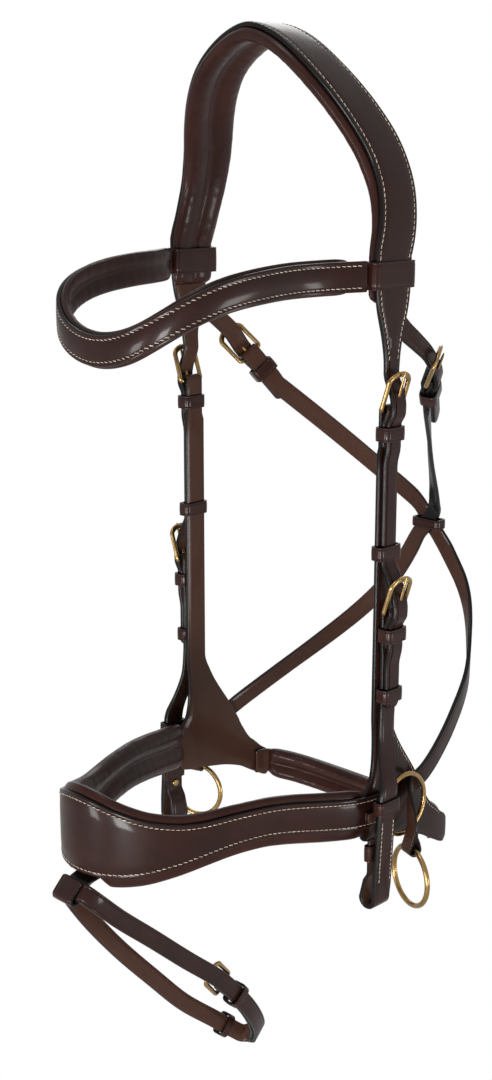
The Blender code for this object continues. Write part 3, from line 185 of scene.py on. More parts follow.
def smooth(rows: Array, steps: int = 4) -> Array:
    """Carry a smooth curve through every row.

    Each span is a cubic whose end slopes are those of the parabola through a row and its two
    neighbours, held back where they would overshoot.

    Args:
        rows: places, one a row, with any further columns that go along.
        steps: how many rows each span becomes.

    Returns:
        The denser rows.
    """
    rows = np.array(rows, dtype=float)
    chords = np.sqrt(np.linalg.norm(np.diff(rows[:, :3], axis=0), axis=1))
    knots = np.concatenate([[0.0], np.cumsum(chords)])
    gaps = np.diff(knots)[:, None]
    spans = np.diff(rows, axis=0) / gaps
    slopes = np.empty_like(rows)
    least = 2 * np.minimum(np.abs(spans[:-1]), np.abs(spans[1:]))
    slopes[1:-1] = (spans[:-1] * gaps[1:] + spans[1:] * gaps[:-1]) / (gaps[:-1] + gaps[1:])
    slopes[1:-1] = np.clip(slopes[1:-1], -least, least) * (spans[:-1] * spans[1:] > 0)
    slopes[0], slopes[-1] = spans[0], spans[-1]
    share = (np.arange(steps) / steps)[None, :, None]
    low, high = rows[:-1, None], rows[1:, None]
    start, end = (slopes[:-1] * gaps)[:, None], (slopes[1:] * gaps)[:, None]
    curve = (
        (2 * share**3 - 3 * share**2 + 1) * low
        + (share**3 - 2 * share**2 + share) * start
        + (3 * share**2 - 2 * share**3) * high
        + (share**3 - share**2) * end
    )
    return np.concatenate([curve.reshape(-1, rows.shape[1]), rows[-1:]])


def frames(path: Array, across: Array, square: bool = True) -> tuple[Array, Array, Array]:
    """Return unit vectors along, across and out of a path.

    Args:
        path: the places.
        across: one rough direction across the strap, or one for each place.
        square: whether the direction across is turned square to the path first.

    Returns:
        Three arrays of unit vectors; out is along crossed with across.
    """
    along = unit(np.gradient(path, axis=0))
    across = np.broadcast_to(np.array(across, dtype=float), path.shape)
    if square:
        across = across - np.sum(across * along, axis=1)[:, None] * along
    across = unit(across)
    return along, across, unit(np.cross(along, across))


def round_way(path: Array) -> Array:
    """Return the unit direction along a closed path at each place, from its two neighbours."""
    return unit(np.roll(path, -1, axis=0) - np.roll(path, 1, axis=0))


def run_length(rows: Array) -> Array:
    """Return how far along the path each row lies, as a running sum of the steps."""
    return np.concatenate([[0.0], np.cumsum(np.linalg.norm(np.diff(rows[:, :3], axis=0), axis=1))])


def rows_of(points: Array, across: Array, width: Array, thickness: Array) -> Array:
    """Lay out a run of points as rows.

    Args:
        points: the places, or a single place.
        across: one direction across the strap, or one for each place.
        width: the strap's width, one value or one for each place.
        thickness: its thickness, likewise.

    Returns:
        Rows of place, direction across, width and thickness.
    """
    points = np.atleast_2d(np.array(points, dtype=float))
    size = np.empty((len(points), 2))
    size[:, 0] = width
    size[:, 1] = thickness
    return np.concatenate([points, np.broadcast_to(across, points.shape), size], axis=1)


def joined(*parts: Array) -> Array:
    """Return runs of rows as one run."""
    return np.concatenate(parts)


def both_halves(half: Array) -> Array:
    """Return rows from the near end to the far end, from the half that ends at the middle."""
    return joined(half, (half * MIRROR)[-2::-1])


def spaced(rows: Array, pitch: float) -> Array:
    """Read rows again at an even pitch along their path.

    Args:
        rows: places, one a row, with any further columns.
        pitch: about how far apart the new rows are; it is fitted to the path's length.

    Returns:
        The rows, each column joined by straight lines.
    """
    length = run_length(rows)
    count = max(int(round(length[-1] / pitch)), 2)
    places = np.linspace(0.0, length[-1], count + 1)
    return np.stack([np.interp(places, length, column) for column in rows.T], axis=1)


def arc(centre: Pair, radius: float, start: float, stop: float, steps: int) -> Array:
    """Return points on a flat arc from a start angle to a stop angle in degrees."""
    turn = np.radians(np.linspace(start, stop, steps + 1))
    return np.stack([centre[0] + radius * np.cos(turn), centre[1] + radius * np.sin(turn)], axis=1)


@dataclass(frozen=True)
class Seat:
    """A buckle's place: the bar's centre, up the strap, and out of the horse."""

    bar: Triple
    up: Triple
    outward: Triple

    def axes(self) -> tuple[Array, Array, Array]:
        """Return unit vectors across, up and out, square to each other."""
        up = np.array(self.up) / np.linalg.norm(self.up)
        out = np.array(self.outward) - np.dot(self.outward, up) * up
        out = out / np.linalg.norm(out)
        return np.cross(out, up), up, out

    def at(self, out: float, up: float, across: float = 0.0) -> Array:
        """Return the place at these distances out, up and across from the bar."""
        along, high, away = self.axes()
        return np.array(self.bar) + along * across + high * up + away * out

    def rows(self, lane: list[Pair], width: float, thick: float, across: Array | None = None) -> Array:
        """Return rows for a lane of distances out and up from the bar."""
        way = self.axes()[0] if across is None else across
        return rows_of([self.at(out, up) for out, up in lane], way, width, thick)

    def tilted(self, points: Array, tilt: float) -> Array:
        """Place points that lean out of the strap, about the bar.

        Args:
            points: distances across, up and out.
            tilt: the angle outwards, in radians.

        Returns:
            The points' places.
        """
        along, high, away = self.axes()
        lean = high * math.cos(tilt) + away * math.sin(tilt)
        face = away * math.cos(tilt) - high * math.sin(tilt)
        return np.array(self.bar) + points @ np.array([-along, lean, face])


def cheek_seat(side: Side, inward: float, drop: float) -> Seat:
    """Return the seat of a buckle on a cheek whose strap hangs this far out and down."""
    place = (side.value * (inward + STOCK.fold), LAY.strap_line, -drop)
    return Seat(place, (0, 0, 1), (side.value, 0, 0))


@dataclass(frozen=True)
class Section:
    """A strap's cross-section: rounded edges, a crowned face and a pressed line near each edge."""

    edge_share: float = 0.42
    line_inset: float = 0.0018
    line_half: float = 0.00032
    line_depth: float = 0.00020
    crown: float = 0.00012
    lined: bool = True
    edge_steps: int = 8
    crown_shares: Triple = (0.55, 0.0, -0.55)
    back_shares: tuple[float, ...] = (-1.0, -0.5, 0.0, 0.5, 1.0)

    def columns(self, half: Array, deep: Array) -> tuple[Array, Array, Array, Array]:
        """Return the section's columns for every row.

        The face runs from one edge to the other at full thickness, dips by a cosine at each pressed
        line and is crowned by a parabola. Each edge is half an ellipse. The back is flat.

        Args:
            half: half of each row's width.
            deep: half of each row's thickness.

        Returns:
            Distances across and out, each with one row for each place, and the shares of edge and
            back, one for each column.
        """
        turn = np.linspace(0.0, math.pi, self.edge_steps + 1)[1:-1]
        inset, wide = self.line_inset, self.line_half
        near_edge = [inset - wide, inset, inset + wide]
        dips = [0.0, self.line_depth if self.lined else 0.0, 0.0]
        round_off = self.edge_share * deep
        face = [(half - round_off, deep, 0.0, 0.0)]
        face += [(half - i, deep - d, 0.0, 0.0) for i, d in zip(near_edge, dips)]
        face += [(half * s, deep + self.crown * (1 - s * s), 0.0, 0.0) for s in self.crown_shares]
        face += [(i - half, deep - d, 0.0, 0.0) for i, d in zip(near_edge[::-1], dips)]
        face += [(round_off - half, deep, 0.0, 0.0)]
        left = [(round_off - half - round_off * math.sin(t), deep * math.cos(t), 1.0, 0.0) for t in turn]
        back = [(half * s + round_off * -np.sign(s), -deep, 0.0, 1.0) for s in self.back_shares]
        right = [(half - round_off + round_off * math.sin(t), deep * math.cos(t), 1.0, 0.0)
                 for t in turn[::-1]]
        columns = face + left + back + right
        across = np.stack([c[0] for c in columns], axis=1)
        out = np.stack([c[1] for c in columns], axis=1)
        return across, out, np.array([c[2] for c in columns]), np.array([c[3] for c in columns])


PLAIN = Section(lined=False)
LINED = Section()
FINE = Section(line_inset=0.0013, line_half=0.00025, line_depth=0.00018, crown=0.0001)


def placed(name: str, data: bpy.types.ID) -> bpy.types.Object:
    """Return a new object in the scene that holds a mesh, a lamp or a camera."""
    thing = bpy.data.objects.new(name, data)
    bpy.context.scene.collection.objects.link(thing)
    return thing


def grid_mesh(name: str, points: Array, closed: bool = False, caps: bool = True,
              tints: dict[str, Array] | None = None) -> bpy.types.Object:
    """Make a mesh from a grid of points whose columns close on themselves.

    Each row of the grid is a loop round the piece. Neighbouring rows and columns make quads, and the
    faces are turned so that the volume they enclose is positive.

    Args:
        name: the object's name.
        points: places, rows by columns by three.
        closed: whether the last row joins the first.
        caps: whether the first and last rows are closed with a face each.
        tints: shares for each point that a finish reads, by name.

    Returns:
        The new object, in the scene.
    """
    rows, columns = points.shape[:2]
    first = np.arange(rows if closed else rows - 1)[:, None]
    here = np.arange(columns)[None, :]
    after, aside = (first + 1) % rows, (here + 1) % columns
    quads = np.stack([first * columns + here, first * columns + aside,
                      after * columns + aside, after * columns + here], axis=-1).reshape(-1, 4)
    flat = points.reshape(-1, 3)
    a, b, c, d = (flat[quads[:, k]] for k in range(4))
    volume = np.sum(np.cross(b - a, c - a) * a) + np.sum(np.cross(c - a, d - a) * a)
    faces = quads.tolist()
    if caps and not closed:
        faces += [list(range(columns))[::-1], [(rows - 1) * columns + k for k in range(columns)]]
    if volume < 0:
        faces = [face[::-1] for face in faces]
    mesh = bpy.data.meshes.new(name)
    mesh.from_pydata(flat.tolist(), [], faces)
    for word, values in (tints or {}).items():
        layer = mesh.attributes.new(word, "FLOAT", "POINT")
        layer.data.foreach_set("value", np.ascontiguousarray(values, dtype=np.float32).ravel())
    mesh.shade_smooth()
    mesh.set_sharp_from_angle(angle=SHARP_ANGLE)
    return placed(name, mesh)


def strap(name: str, rows: Array, section: Section = LINED, square: bool = True, closed: bool = False,
          face: float = 1.0) -> bpy.types.Object:
    """Carry a strap's section along rows, with its ends drawn in to a soft edge.

    Args:
        name: the object's name.
        rows: place, direction across, width and thickness.
        section: the strap's cross-section.
        square: whether the direction across is turned square to the path.
        closed: whether the path is a loop.
        face: 1 where the grain side faces out of the path, -1 where it faces in.

    Returns:
        The strap's object, with the tints edge and flesh.
    """
    path = rows[:, :3]
    if closed:
        _, across, _ = frames(path, rows[:, 3:6], False)
        along = round_way(path)
        out = unit(np.cross(along, across))
    else:
        along, across, out = frames(path, rows[:, 3:6], square)
    half, deep = rows[:, 6] / 2, rows[:, 7] / 2
    u, v, edge, flesh = section.columns(half, deep)
    if not closed:
        reach, shrink = np.array(END_REACH), np.array(END_SHRINK)
        count, last = len(reach), len(across) - 1
        size = STOCK.leather * END_SHARE
        heads = np.repeat(path[:1], count, axis=0) + along[0] * (reach * size)[:, None]
        tails = np.repeat(path[-1:], count, axis=0) - along[-1] * (reach[::-1] * size)[:, None]
        path = np.concatenate([heads, path[1:-1], tails])
        keep = np.concatenate([np.zeros(count, int), np.arange(1, last), np.full(count, last)])
        across, out, u, v = across[keep], out[keep], u[keep], v[keep]
        v[:count] *= shrink[:, None]
        v[-count:] *= shrink[::-1][:, None]
        trim = (1 - shrink) * size
        u[:count] -= np.sign(u[:count]) * trim[:, None]
        u[-count:] -= np.sign(u[-count:]) * trim[::-1][:, None]
    points = path[:, None] + across[:, None] * u[..., None] + out[:, None] * (face * v)[..., None]
    tints = {"edge": np.tile(edge, (len(path), 1)), "flesh": np.tile(flesh, (len(path), 1))}
    return grid_mesh(name, points, closed, True, tints)


def tube(name: str, path: Array, across: Array, wide: Array, tall: Array, closed: bool = False,
         sides: int = 14) -> bpy.types.Object:
    """Carry an ellipse along a path, as a wire or a casting.

    Args:
        name: the object's name.
        path: the places along the middle.
        across: the direction of the ellipse's first axis.
        wide: half its size across, one value or one for each place.
        tall: half its size square to that.
        closed: whether the path is a loop.
        sides: how many columns go round.

    Returns:
        The tube's object.
    """
    path = np.asarray(path, dtype=float)
    along = round_way(path) if closed else unit(np.gradient(path, axis=0))
    across = np.broadcast_to(np.asarray(across, dtype=float), path.shape)
    across = unit(across - np.sum(across * along, axis=1)[:, None] * along)
    out = np.cross(along, across)
    turn = np.linspace(0.0, 2 * math.pi, sides, endpoint=False)
    wide = np.broadcast_to(np.asarray(wide, dtype=float), (len(path),))[:, None]
    tall = np.broadcast_to(np.asarray(tall, dtype=float), (len(path),))[:, None]
    u, v = wide * np.cos(turn), tall * np.sin(turn)
    points = path[:, None] + across[:, None] * u[..., None] + out[:, None] * v[..., None]
    return grid_mesh(name, points, closed)


@dataclass(frozen=True)
class Thread:
    """A row of stitches: how far apart, how long and thick, and how far in from the strap's edge."""

    pitch: float = 0.0034
    length: float = 0.0026
    radius: float = 0.00026
    inset: float = 0.0028
    slant: float = 0.10
    lift: float = 0.30
    tip_share: float = 0.12
    sides: int = 6
    rings: int = 5

    def sew(self, name: str, rows: Array, edges: tuple[int, ...] = (-1, 1), face: float = 1.0,
            square: bool = True, inset: float | None = None, trim: int = 1) -> bpy.types.Object:
        """Sew rows of stitches along a strap's edges.

        Each stitch is an ellipsoid, sunk by a third of its thickness into the face. All of them are
        one array: a unit stitch's points times each stitch's own three directions.

        Args:
            name: the object's name.
            rows: the strap's rows.
            edges: the sides that are sewn, as signs across.
            face: 1 for the side out of the path, -1 for the one inside.
            square: whether the direction across is turned square to the path.
            inset: the distance in from the edge, where it isn't the thread's own.
            trim: how many stitches are left out at each end.

        Returns:
            The stitches as one object.
        """
        inset = self.inset if inset is None else inset
        _, across, out = frames(rows[:, :3], rows[:, 3:6], square)
        runs = []
        for edge in edges:
            line = rows[:, :3] + across * (edge * (rows[:, 6] / 2 - inset))[:, None]
            line = line + out * (face * (rows[:, 7] / 2 + self.radius * self.lift))[:, None]
            even = spaced(np.concatenate([line, across, out], axis=1), self.pitch / 2)
            runs.append(even[1 + 2 * trim:len(even) - 2 * trim:2])
        places = np.concatenate(runs)
        way = np.concatenate([unit(np.gradient(run[:, :3], axis=0)) for run in runs])
        side = unit(places[:, 3:6] + way * self.slant)
        high = unit(np.cross(way, side))
        way = unit(np.cross(side, high))
        ring = np.linspace(0.0, math.pi, self.rings)
        turn = np.linspace(0.0, 2 * math.pi, self.sides, endpoint=False)
        thick = self.radius * np.sqrt(np.clip(np.sin(ring), self.tip_share, 1.0))
        x = np.repeat(-np.cos(ring)[:, None] * self.length / 2, self.sides, axis=1)
        y, z = thick[:, None] * np.cos(turn), thick[:, None] * np.sin(turn)
        shape = np.stack([x, y, z], axis=-1).reshape(-1, 3)
        turned = np.einsum("pk,nkj->npj", shape, np.stack([way, side, high], axis=1))
        points = places[:, None, :3] + turned
        return many(name, points.reshape(-1, 3), self.faces(), len(shape), len(places))

    def faces(self) -> list[list[int]]:
        """Return the faces of one stitch: quads round it and a cap at each end."""
        ring, side = np.meshgrid(np.arange(self.rings - 1), np.arange(self.sides), indexing="ij")
        aside = (side + 1) % self.sides
        quads = np.stack([ring * self.sides + side, (ring + 1) * self.sides + side,
                          (ring + 1) * self.sides + aside, ring * self.sides + aside], axis=-1)
        last = (self.rings - 1) * self.sides
        caps = [list(range(self.sides)), [last + k for k in range(self.sides)][::-1]]
        return [face[::-1] for face in quads.reshape(-1, 4).tolist()] + [c[::-1] for c in caps]


def many(name: str, points: Array, faces: list[list[int]], size: int, count: int) -> bpy.types.Object:
    """Make one object of many copies of a small shape.

    The faces are turned where the first copy's volume comes out negative.

    Args:
        name: the object's name.
        points: every copy's points in turn.
        faces: one copy's faces.
        size: how many points a copy has.
        count: how many copies there are.

    Returns:
        The new object, in the scene.
    """
    mesh = bpy.data.meshes.new(name)
    copies = [[k + size * i for k in face] for i in range(count) for face in faces]
    mesh.from_pydata(points.tolist(), [], copies)
    a = points[:size]
    first = np.array([face[:3] for face in faces])
    volume = np.sum(np.cross(a[first[:, 1]] - a[first[:, 0]], a[first[:, 2]] - a[first[:, 0]])
                    * (a[first[:, 0]] - a.mean(axis=0)))
    if volume < 0:
        mesh.flip_normals()
    mesh.shade_smooth()
    return placed(name, mesh)


class Nodes:
    """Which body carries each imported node, and how a finished piece stands for nodes."""

    def __init__(self, record: dict) -> None:
        """Read the bodies from the frame's record."""
        bodies = record["behaviour"]["bodies"]
        self.body = {node: body for body, nodes in bodies.items() for node in nodes}

    def dress(self, piece: bpy.types.Object, finish: bpy.types.Material, slot: Slot, node: str,
              stands_for: bool = True) -> bpy.types.Object:
        """Give a piece its finish, and let it ride with a node's body.

        Args:
            piece: the finished piece.
            finish: its material.
            slot: the record's slot; not used.
            node: the node that it stands for or lies on.
            stands_for: whether it replaces that node.

        Returns:
            The same piece.
        """
        piece.data.materials.clear()
        piece.data.materials.append(finish)
        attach(piece, self.body[node])
        if stands_for:
            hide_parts(node)
        LOG.info("%s rides on %s", piece.name, self.body[node])
        return piece


NODES = Nodes(frame["record"])


class Graph:
    """A material's node tree, with one call for each node."""

    def __init__(self, name: str) -> None:
        """Start a material with a Principled shader.

        Args:
            name: the material's name.
        """
        self.material = bpy.data.materials.new(name)
        self.material.use_nodes = True
        self.tree = self.material.node_tree
        self.shader = self.tree.nodes["Principled BSDF"]
        self.place = self.add("ShaderNodeTexCoord").outputs["Object"]

    def add(self, kind: str, inputs: dict | None = None, **fields: object) -> bpy.types.Node:
        """Add a node to the tree.

        Args:
            kind: the node's type.
            inputs: what each input is joined or set to.
            fields: the node's own settings.

        Returns:
            The node.
        """
        node = self.tree.nodes.new(kind)
        for word, value in fields.items():
            setattr(node, word, value)
        for socket, value in (inputs or {}).items():
            self.put(node.inputs[socket], value)
        return node

    def put(self, socket: bpy.types.NodeSocket, value: object) -> None:
        """Join an output to a socket, or set the socket's value."""
        if isinstance(value, bpy.types.NodeSocket):
            self.tree.links.new(value, socket)
        else:
            socket.default_value = value

    def noise(self, scale: float, detail: float = 3.0, rough: float = 0.5) -> bpy.types.NodeSocket:
        """Return a noise's value over the object's own places."""
        node = self.add("ShaderNodeTexNoise", {"Vector": self.place, "Scale": scale, "Detail": detail,
                                               "Roughness": rough})
        return node.outputs["Fac"]

    def share(self, value: bpy.types.NodeSocket, low: float, high: float, start: float = 0.0,
              stop: float = 1.0) -> bpy.types.NodeSocket:
        """Return a value stretched from one range to another and held inside it."""
        node = self.add("ShaderNodeMapRange", {"Value": value, "From Min": low, "From Max": high,
                                               "To Min": start, "To Max": stop})
        return node.outputs["Result"]

    def blend(self, share: object, first: object, second: object) -> bpy.types.NodeSocket:
        """Mix two colours.

        Args:
            share: how much of the second shows.
            first: the colour at a share of 0.
            second: the colour at a share of 1.

        Returns:
            The mix.
        """
        node = self.add("ShaderNodeMix", data_type="RGBA")
        self.put(node.inputs["Factor"], share)
        self.put(node.inputs[6], first)
        self.put(node.inputs[7], second)
        return node.outputs[2]

    def sums(self, kind: str, first: object, second: object) -> bpy.types.NodeSocket:
        """Work out one value from two.

        Args:
            kind: the sum's name, such as ADD or MULTIPLY.
            first: the first value.
            second: the second value.

        Returns:
            The result.
        """
        node = self.add("ShaderNodeMath", operation=kind)
        self.put(node.inputs[0], first)
        self.put(node.inputs[1], second)
        return node.outputs["Value"]

    def tint(self, name: str) -> bpy.types.NodeSocket:
        """Return a share that the mesh holds at each point."""
        return self.add("ShaderNodeAttribute", attribute_name=name).outputs["Fac"]

    def bump(self, height: bpy.types.NodeSocket, distance: float, strength: float = 1.0) -> None:
        """Raise the surface by a height, over this distance in metres."""
        node = self.add("ShaderNodeBump", {"Height": height, "Distance": distance, "Strength": strength})
        self.put(self.shader.inputs["Normal"], node.outputs["Normal"])

    def set(self, **values: object) -> None:
        """Join or set the shader's sockets, whose names are written with underscores."""
        for word, value in values.items():
            self.put(self.shader.inputs[word.replace("_", " ")], value)


def opaque(colour: Triple, times: float = 1.0) -> tuple[float, ...]:
    """Return a colour, lighter or darker by a factor, that hides what is behind it."""
    return (*(part * times for part in colour), 1.0)


@dataclass(frozen=True)
class LeatherFinish:
    """Waxed leather: a mottled dye, fine pores, painted edges and a darker flesh side.

    The scales count a pattern's cells in a metre.
    """

    name: str
    dye: Triple
    shade: Triple
    edge: Triple
    flesh: Triple
    gloss: float = 0.42
    pores: float = 0.00006
    coat: float = 0.14
    # A height above which the flesh side is coloured black; None keeps the flesh one colour.
    black_above: float | None = None
    shine: float = 0.085
    coat_rough: float = 0.14
    cloud_scale: float = 38.0
    fleck_scale: float = 420.0
    fleck_share: float = 0.16
    fleck_dark: float = 0.55
    wear_scale: float = 90.0
    wear_share: float = 0.30
    wear_light: float = 1.6
    polish_scale: float = 55.0
    flesh_rough: float = 0.28
    paint_smooth: float = 0.06
    fade: float = 0.004
    pore_scale: float = 1500.0
    pore_share: float = 0.55
    creep_scale: float = 240.0
    creep_share: float = 1.3

    def build(self) -> bpy.types.Material:
        """Return the finish as a material."""
        g = Graph(self.name)
        cloud = g.share(g.noise(self.cloud_scale, 4.0, 0.6), 0.30, 0.72)
        fleck = g.share(g.noise(self.fleck_scale, 2.0), 0.35, 0.75)
        dye = g.blend(cloud, opaque(self.shade), opaque(self.dye))
        dye = g.blend(g.sums("MULTIPLY", fleck, self.fleck_share), dye, opaque(self.dye, self.fleck_dark))
        worn = g.share(g.noise(self.wear_scale, 5.0, 0.7), 0.56, 0.72)
        worn = g.sums("MULTIPLY", worn, self.wear_share)
        rim = g.share(g.tint("edge"), 0.02, 0.35)
        halo = g.sums("MULTIPLY", rim, worn)
        flesh: object = opaque(self.flesh)
        # Above black_above the flesh side takes the edge paint's black, and below it keeps its own colour.
        if self.black_above is not None:
            place = g.add("ShaderNodeSeparateXYZ", {"Vector": g.place}).outputs["Z"]
            high = g.share(place, self.black_above - self.fade, self.black_above)
            flesh = g.blend(high, flesh, opaque(self.edge))
        body = g.blend(g.tint("flesh"), dye, flesh)
        edge = g.blend(halo, opaque(self.edge), opaque(self.dye, self.wear_light))
        paint = g.share(g.tint("edge"), 0.35, 0.75)
        g.put(g.shader.inputs["Base Color"], g.blend(paint, body, edge))
        base = g.share(g.noise(self.polish_scale, 3.0), 0.25, 0.75, self.gloss - 0.06, self.gloss + 0.10)
        rough = g.sums("ADD", base, g.sums("MULTIPLY", g.tint("flesh"), self.flesh_rough))
        rough = g.sums("SUBTRACT", rough, g.sums("MULTIPLY", paint, self.paint_smooth))
        g.put(g.shader.inputs["Roughness"], rough)
        cells = g.add("ShaderNodeTexVoronoi", {"Vector": g.place, "Scale": self.pore_scale})
        grain = g.sums("MULTIPLY", cells.outputs["Distance"], self.pore_share)
        creep = g.sums("MULTIPLY", g.noise(self.creep_scale, 4.0, 0.6), self.creep_share)
        g.bump(g.sums("ADD", grain, creep), self.pores)
        g.set(Specular_IOR_Level=self.shine, Coat_Weight=self.coat, Coat_Roughness=self.coat_rough,
              Sheen_Weight=0.0)
        return g.material


@dataclass(frozen=True)
class BrassFinish:
    """Cast brass, polished and a little aged: warm, with fine scratches and dull hollows."""

    name: str
    bright: Triple
    dull: Triple
    gloss: float = 0.20
    dull_rough: float = 0.14
    age_scale: float = 60.0
    rub_scale: float = 300.0
    scratch_scale: float = 900.0
    scratch_depth: float = 0.00003

    def build(self) -> bpy.types.Material:
        """Return the finish as a material."""
        g = Graph(self.name)
        age = g.share(g.noise(self.age_scale, 3.0, 0.5), 0.30, 0.85)
        g.put(g.shader.inputs["Base Color"], g.blend(age, opaque(self.dull), opaque(self.bright)))
        rub = g.share(g.noise(self.rub_scale, 4.0), 0.3, 0.7, self.gloss + self.dull_rough, self.gloss)
        g.put(g.shader.inputs["Roughness"], rub)
        g.bump(g.noise(self.scratch_scale, 3.0), self.scratch_depth)
        g.set(Metallic=1.0)
        return g.material


@dataclass(frozen=True)
class ThreadFinish:
    """Waxed linen thread: pale, with dust between the plies."""

    name: str
    pale: Triple
    dust: Triple
    ply_scale: float = 1400.0
    ply_share: float = 0.35
    spot_scale: float = 160.0
    fibre_scale: float = 2600.0
    fibre_depth: float = 0.00005
    fuzz: float = 0.1

    def build(self) -> bpy.types.Material:
        """Return the finish as a material."""
        g = Graph(self.name)
        ply = g.share(g.noise(self.ply_scale, 2.0), 0.3, 0.7)
        spots = g.share(g.noise(self.spot_scale, 3.0), 0.35, 0.7)
        shade = g.blend(spots, opaque(self.dust), opaque(self.pale))
        shade = g.blend(g.sums("MULTIPLY", ply, self.ply_share), shade, opaque(self.dust))
        g.put(g.shader.inputs["Base Color"], shade)
        g.put(g.shader.inputs["Roughness"], g.share(spots, 0.0, 1.0, 0.75, 0.55))
        g.bump(g.noise(self.fibre_scale, 1.0), self.fibre_depth)
        g.set(Sheen_Weight=self.fuzz)
        return g.material


@dataclass(frozen=True)
class HoleFinish:
    """The floor of a punched hole's shallow dish, painted near black as painted shade for the hole's depth,
    with the leather's cut fibres.
    """

    name: str
    # The near-black colour is painted shade that stands in for the depth of the hole.
    inside: Triple
    fibre_scale: float = 1200.0
    fibre_light: float = 2.2
    nap_scale: float = 1800.0
    nap_depth: float = 0.00008
    rough: float = 0.9

    def build(self) -> bpy.types.Material:
        """Return the finish as a material."""
        g = Graph(self.name)
        fibre = g.share(g.noise(self.fibre_scale, 3.0), 0.3, 0.7)
        light = opaque(self.inside, self.fibre_light)
        # Painted shade: the dish's floor is coloured near black for the hole's depth.
        g.put(g.shader.inputs["Base Color"], g.blend(fibre, opaque(self.inside), light))
        g.bump(g.noise(self.nap_scale, 2.0), self.nap_depth)
        g.set(Roughness=self.rough)
        return g.material


EDGE_PAINT = (0.002, 0.0015, 0.0015)
# The havana straps' dye, its darker cloud, the edges' paint and the flesh side
HAVANA = ((0.020, 0.0055, 0.0035), (0.011, 0.0032, 0.0022), EDGE_PAINT, (0.044, 0.0185, 0.0115))
# The height above which the near jaw strap's flesh side is coloured black, and below which it stays tan.
CROSSING_BACK_BLACK = -0.336


@dataclass
class Finishes:
    """Every finish of the bridle, built once."""

    strap: bpy.types.Material = field(default_factory=lambda: LeatherFinish(
        "havana_strap_leather", *HAVANA).build())
    black_back: bpy.types.Material = field(default_factory=lambda: LeatherFinish(
        "havana_black_backed_leather", *HAVANA, black_above=CROSSING_BACK_BLACK).build())
    loop: bpy.types.Material = field(default_factory=lambda: LeatherFinish(
        "havana_loop_leather", (0.026, 0.0077, 0.0050), (0.015, 0.0046, 0.0032), EDGE_PAINT,
        (0.016, 0.009, 0.008), gloss=0.30).build())
    pad: bpy.types.Material = field(default_factory=lambda: LeatherFinish(
        "soft_lining_leather", (0.029, 0.0085, 0.0056), (0.017, 0.0052, 0.0038), (0.011, 0.004, 0.003),
        (0.030, 0.012, 0.009), gloss=0.38, pores=0.00012, coat=0.08).build())
    brass: bpy.types.Material = field(default_factory=lambda: BrassFinish(
        "aged_brass", (0.34, 0.225, 0.085), (0.18, 0.110, 0.043)).build())
    thread: bpy.types.Material = field(default_factory=lambda: ThreadFinish(
        "cream_linen_thread", (0.70, 0.62, 0.50), (0.30, 0.24, 0.18)).build())
    # The holes' near-black finish is painted shade for their depth.
    hole: bpy.types.Material = field(default_factory=lambda: HoleFinish(
        "punched_hole", (0.004, 0.003, 0.003)).build())


FINISH = Finishes()
THREAD = Thread()
FINE_THREAD = Thread(pitch=0.0030, length=0.0023, radius=0.00022, inset=0.0022)
# A punched hole's rim as shares of its radius, outwards and upwards, and how many points go round it
HOLE_PROFILE = ((1.25, -0.25), (1.12, 0.07), (0.98, 0.06), (0.86, -0.12))
HOLE_SIDES = 16


def dress_strap(node: str, rows: Array, section: Section = LINED, square: bool = True, face: float = 1.0,
                finish: bpy.types.Material | None = None) -> bpy.types.Object:
    """Make the strap that stands for a leather node."""
    piece = strap(f"{node}_strap", rows, section, square, False, face)
    return NODES.dress(piece, finish or FINISH.strap, Slot.STRAP, node)


def dress_stitches(node: str, rows: Array, thread: Thread = THREAD, **how: object) -> None:
    """Sew rows of stitches on a leather node, along its rows read again at an even step."""
    piece = thread.sew(f"{node}_stitches", spaced(rows, STITCH_STEP), **how)
    NODES.dress(piece, FINISH.thread, Slot.STRAP, node, False)


def flipped(rows: Array, side: Side) -> Array:
    """Return rows laid out for the near side as they lie on a side."""
    return rows * MIRROR if side is Side.FAR else rows


def chape_lane(fold: float, leather: float, low: float, back: float) -> Array:
    """Return a folded strap end beside a bar: down its outer ply, round the bar and down inside.

    Args:
        fold: the distance from the bar to the middle of the leather.
        leather: the leather's thickness.
        low: how far the inner ply runs below the bar.
        back: how far the outer ply runs below it.

    Returns:
        Distances out and up, smoothly joined.
    """
    pinched = -fold + leather + STOCK.gap
    outer = [(pinched, -back), (pinched, -back * 0.40), (fold * 0.40, -back * 0.22)]
    turn = arc((0.0, 0.0), fold, 0, 180, 16)
    inner = [(-fold, -back * 0.30), (-fold, -low)]
    bent = smooth(np.array(outer + [tuple(turn[0])]), 4)
    return np.concatenate([bent, turn[1:], np.array(inner)])


def keeper(node: str, seat: Seat, width: float, depth: float, height: float, out: float = 0.0,
           up: float = 0.0) -> bpy.types.Object:
    """Make a keeper: a narrow strap bent round a rounded rectangle and sewn into a loop.

    Args:
        node: the node that it stands for.
        seat: where it sits.
        width: the opening across the strap.
        depth: the opening through the strap.
        height: the keeper's length along the strap.
        out: how far out of the seat its middle lies.
        up: how far up the strap it lies.

    Returns:
        The keeper's object.
    """
    wall = STOCK.keeper_wall
    half, deep = (width + wall) / 2, (depth + wall) / 2
    corner = (depth / 2) * 0.4 + wall / 2
    quarters = []
    for k, (u, v) in enumerate(((1, 1), (-1, 1), (-1, -1), (1, -1))):
        centre = (u * (half - corner), v * (deep - corner))
        quarters.append(arc(centre, corner, 90 * k, 90 * k + 90, 5))
    loop = np.concatenate(quarters)
    across, high, away = seat.axes()
    middle = seat.at(out, up)
    path = middle - across * loop[:, :1] + away * loop[:, 1:]
    path = spaced_loop(path, height / 5)
    rows = rows_of(path, high, height, wall)
    piece = strap(f"{node}_leather", rows, FINE, False, True, outward_of(rows, middle))
    return NODES.dress(piece, FINISH.loop, Slot.LOOP, node)


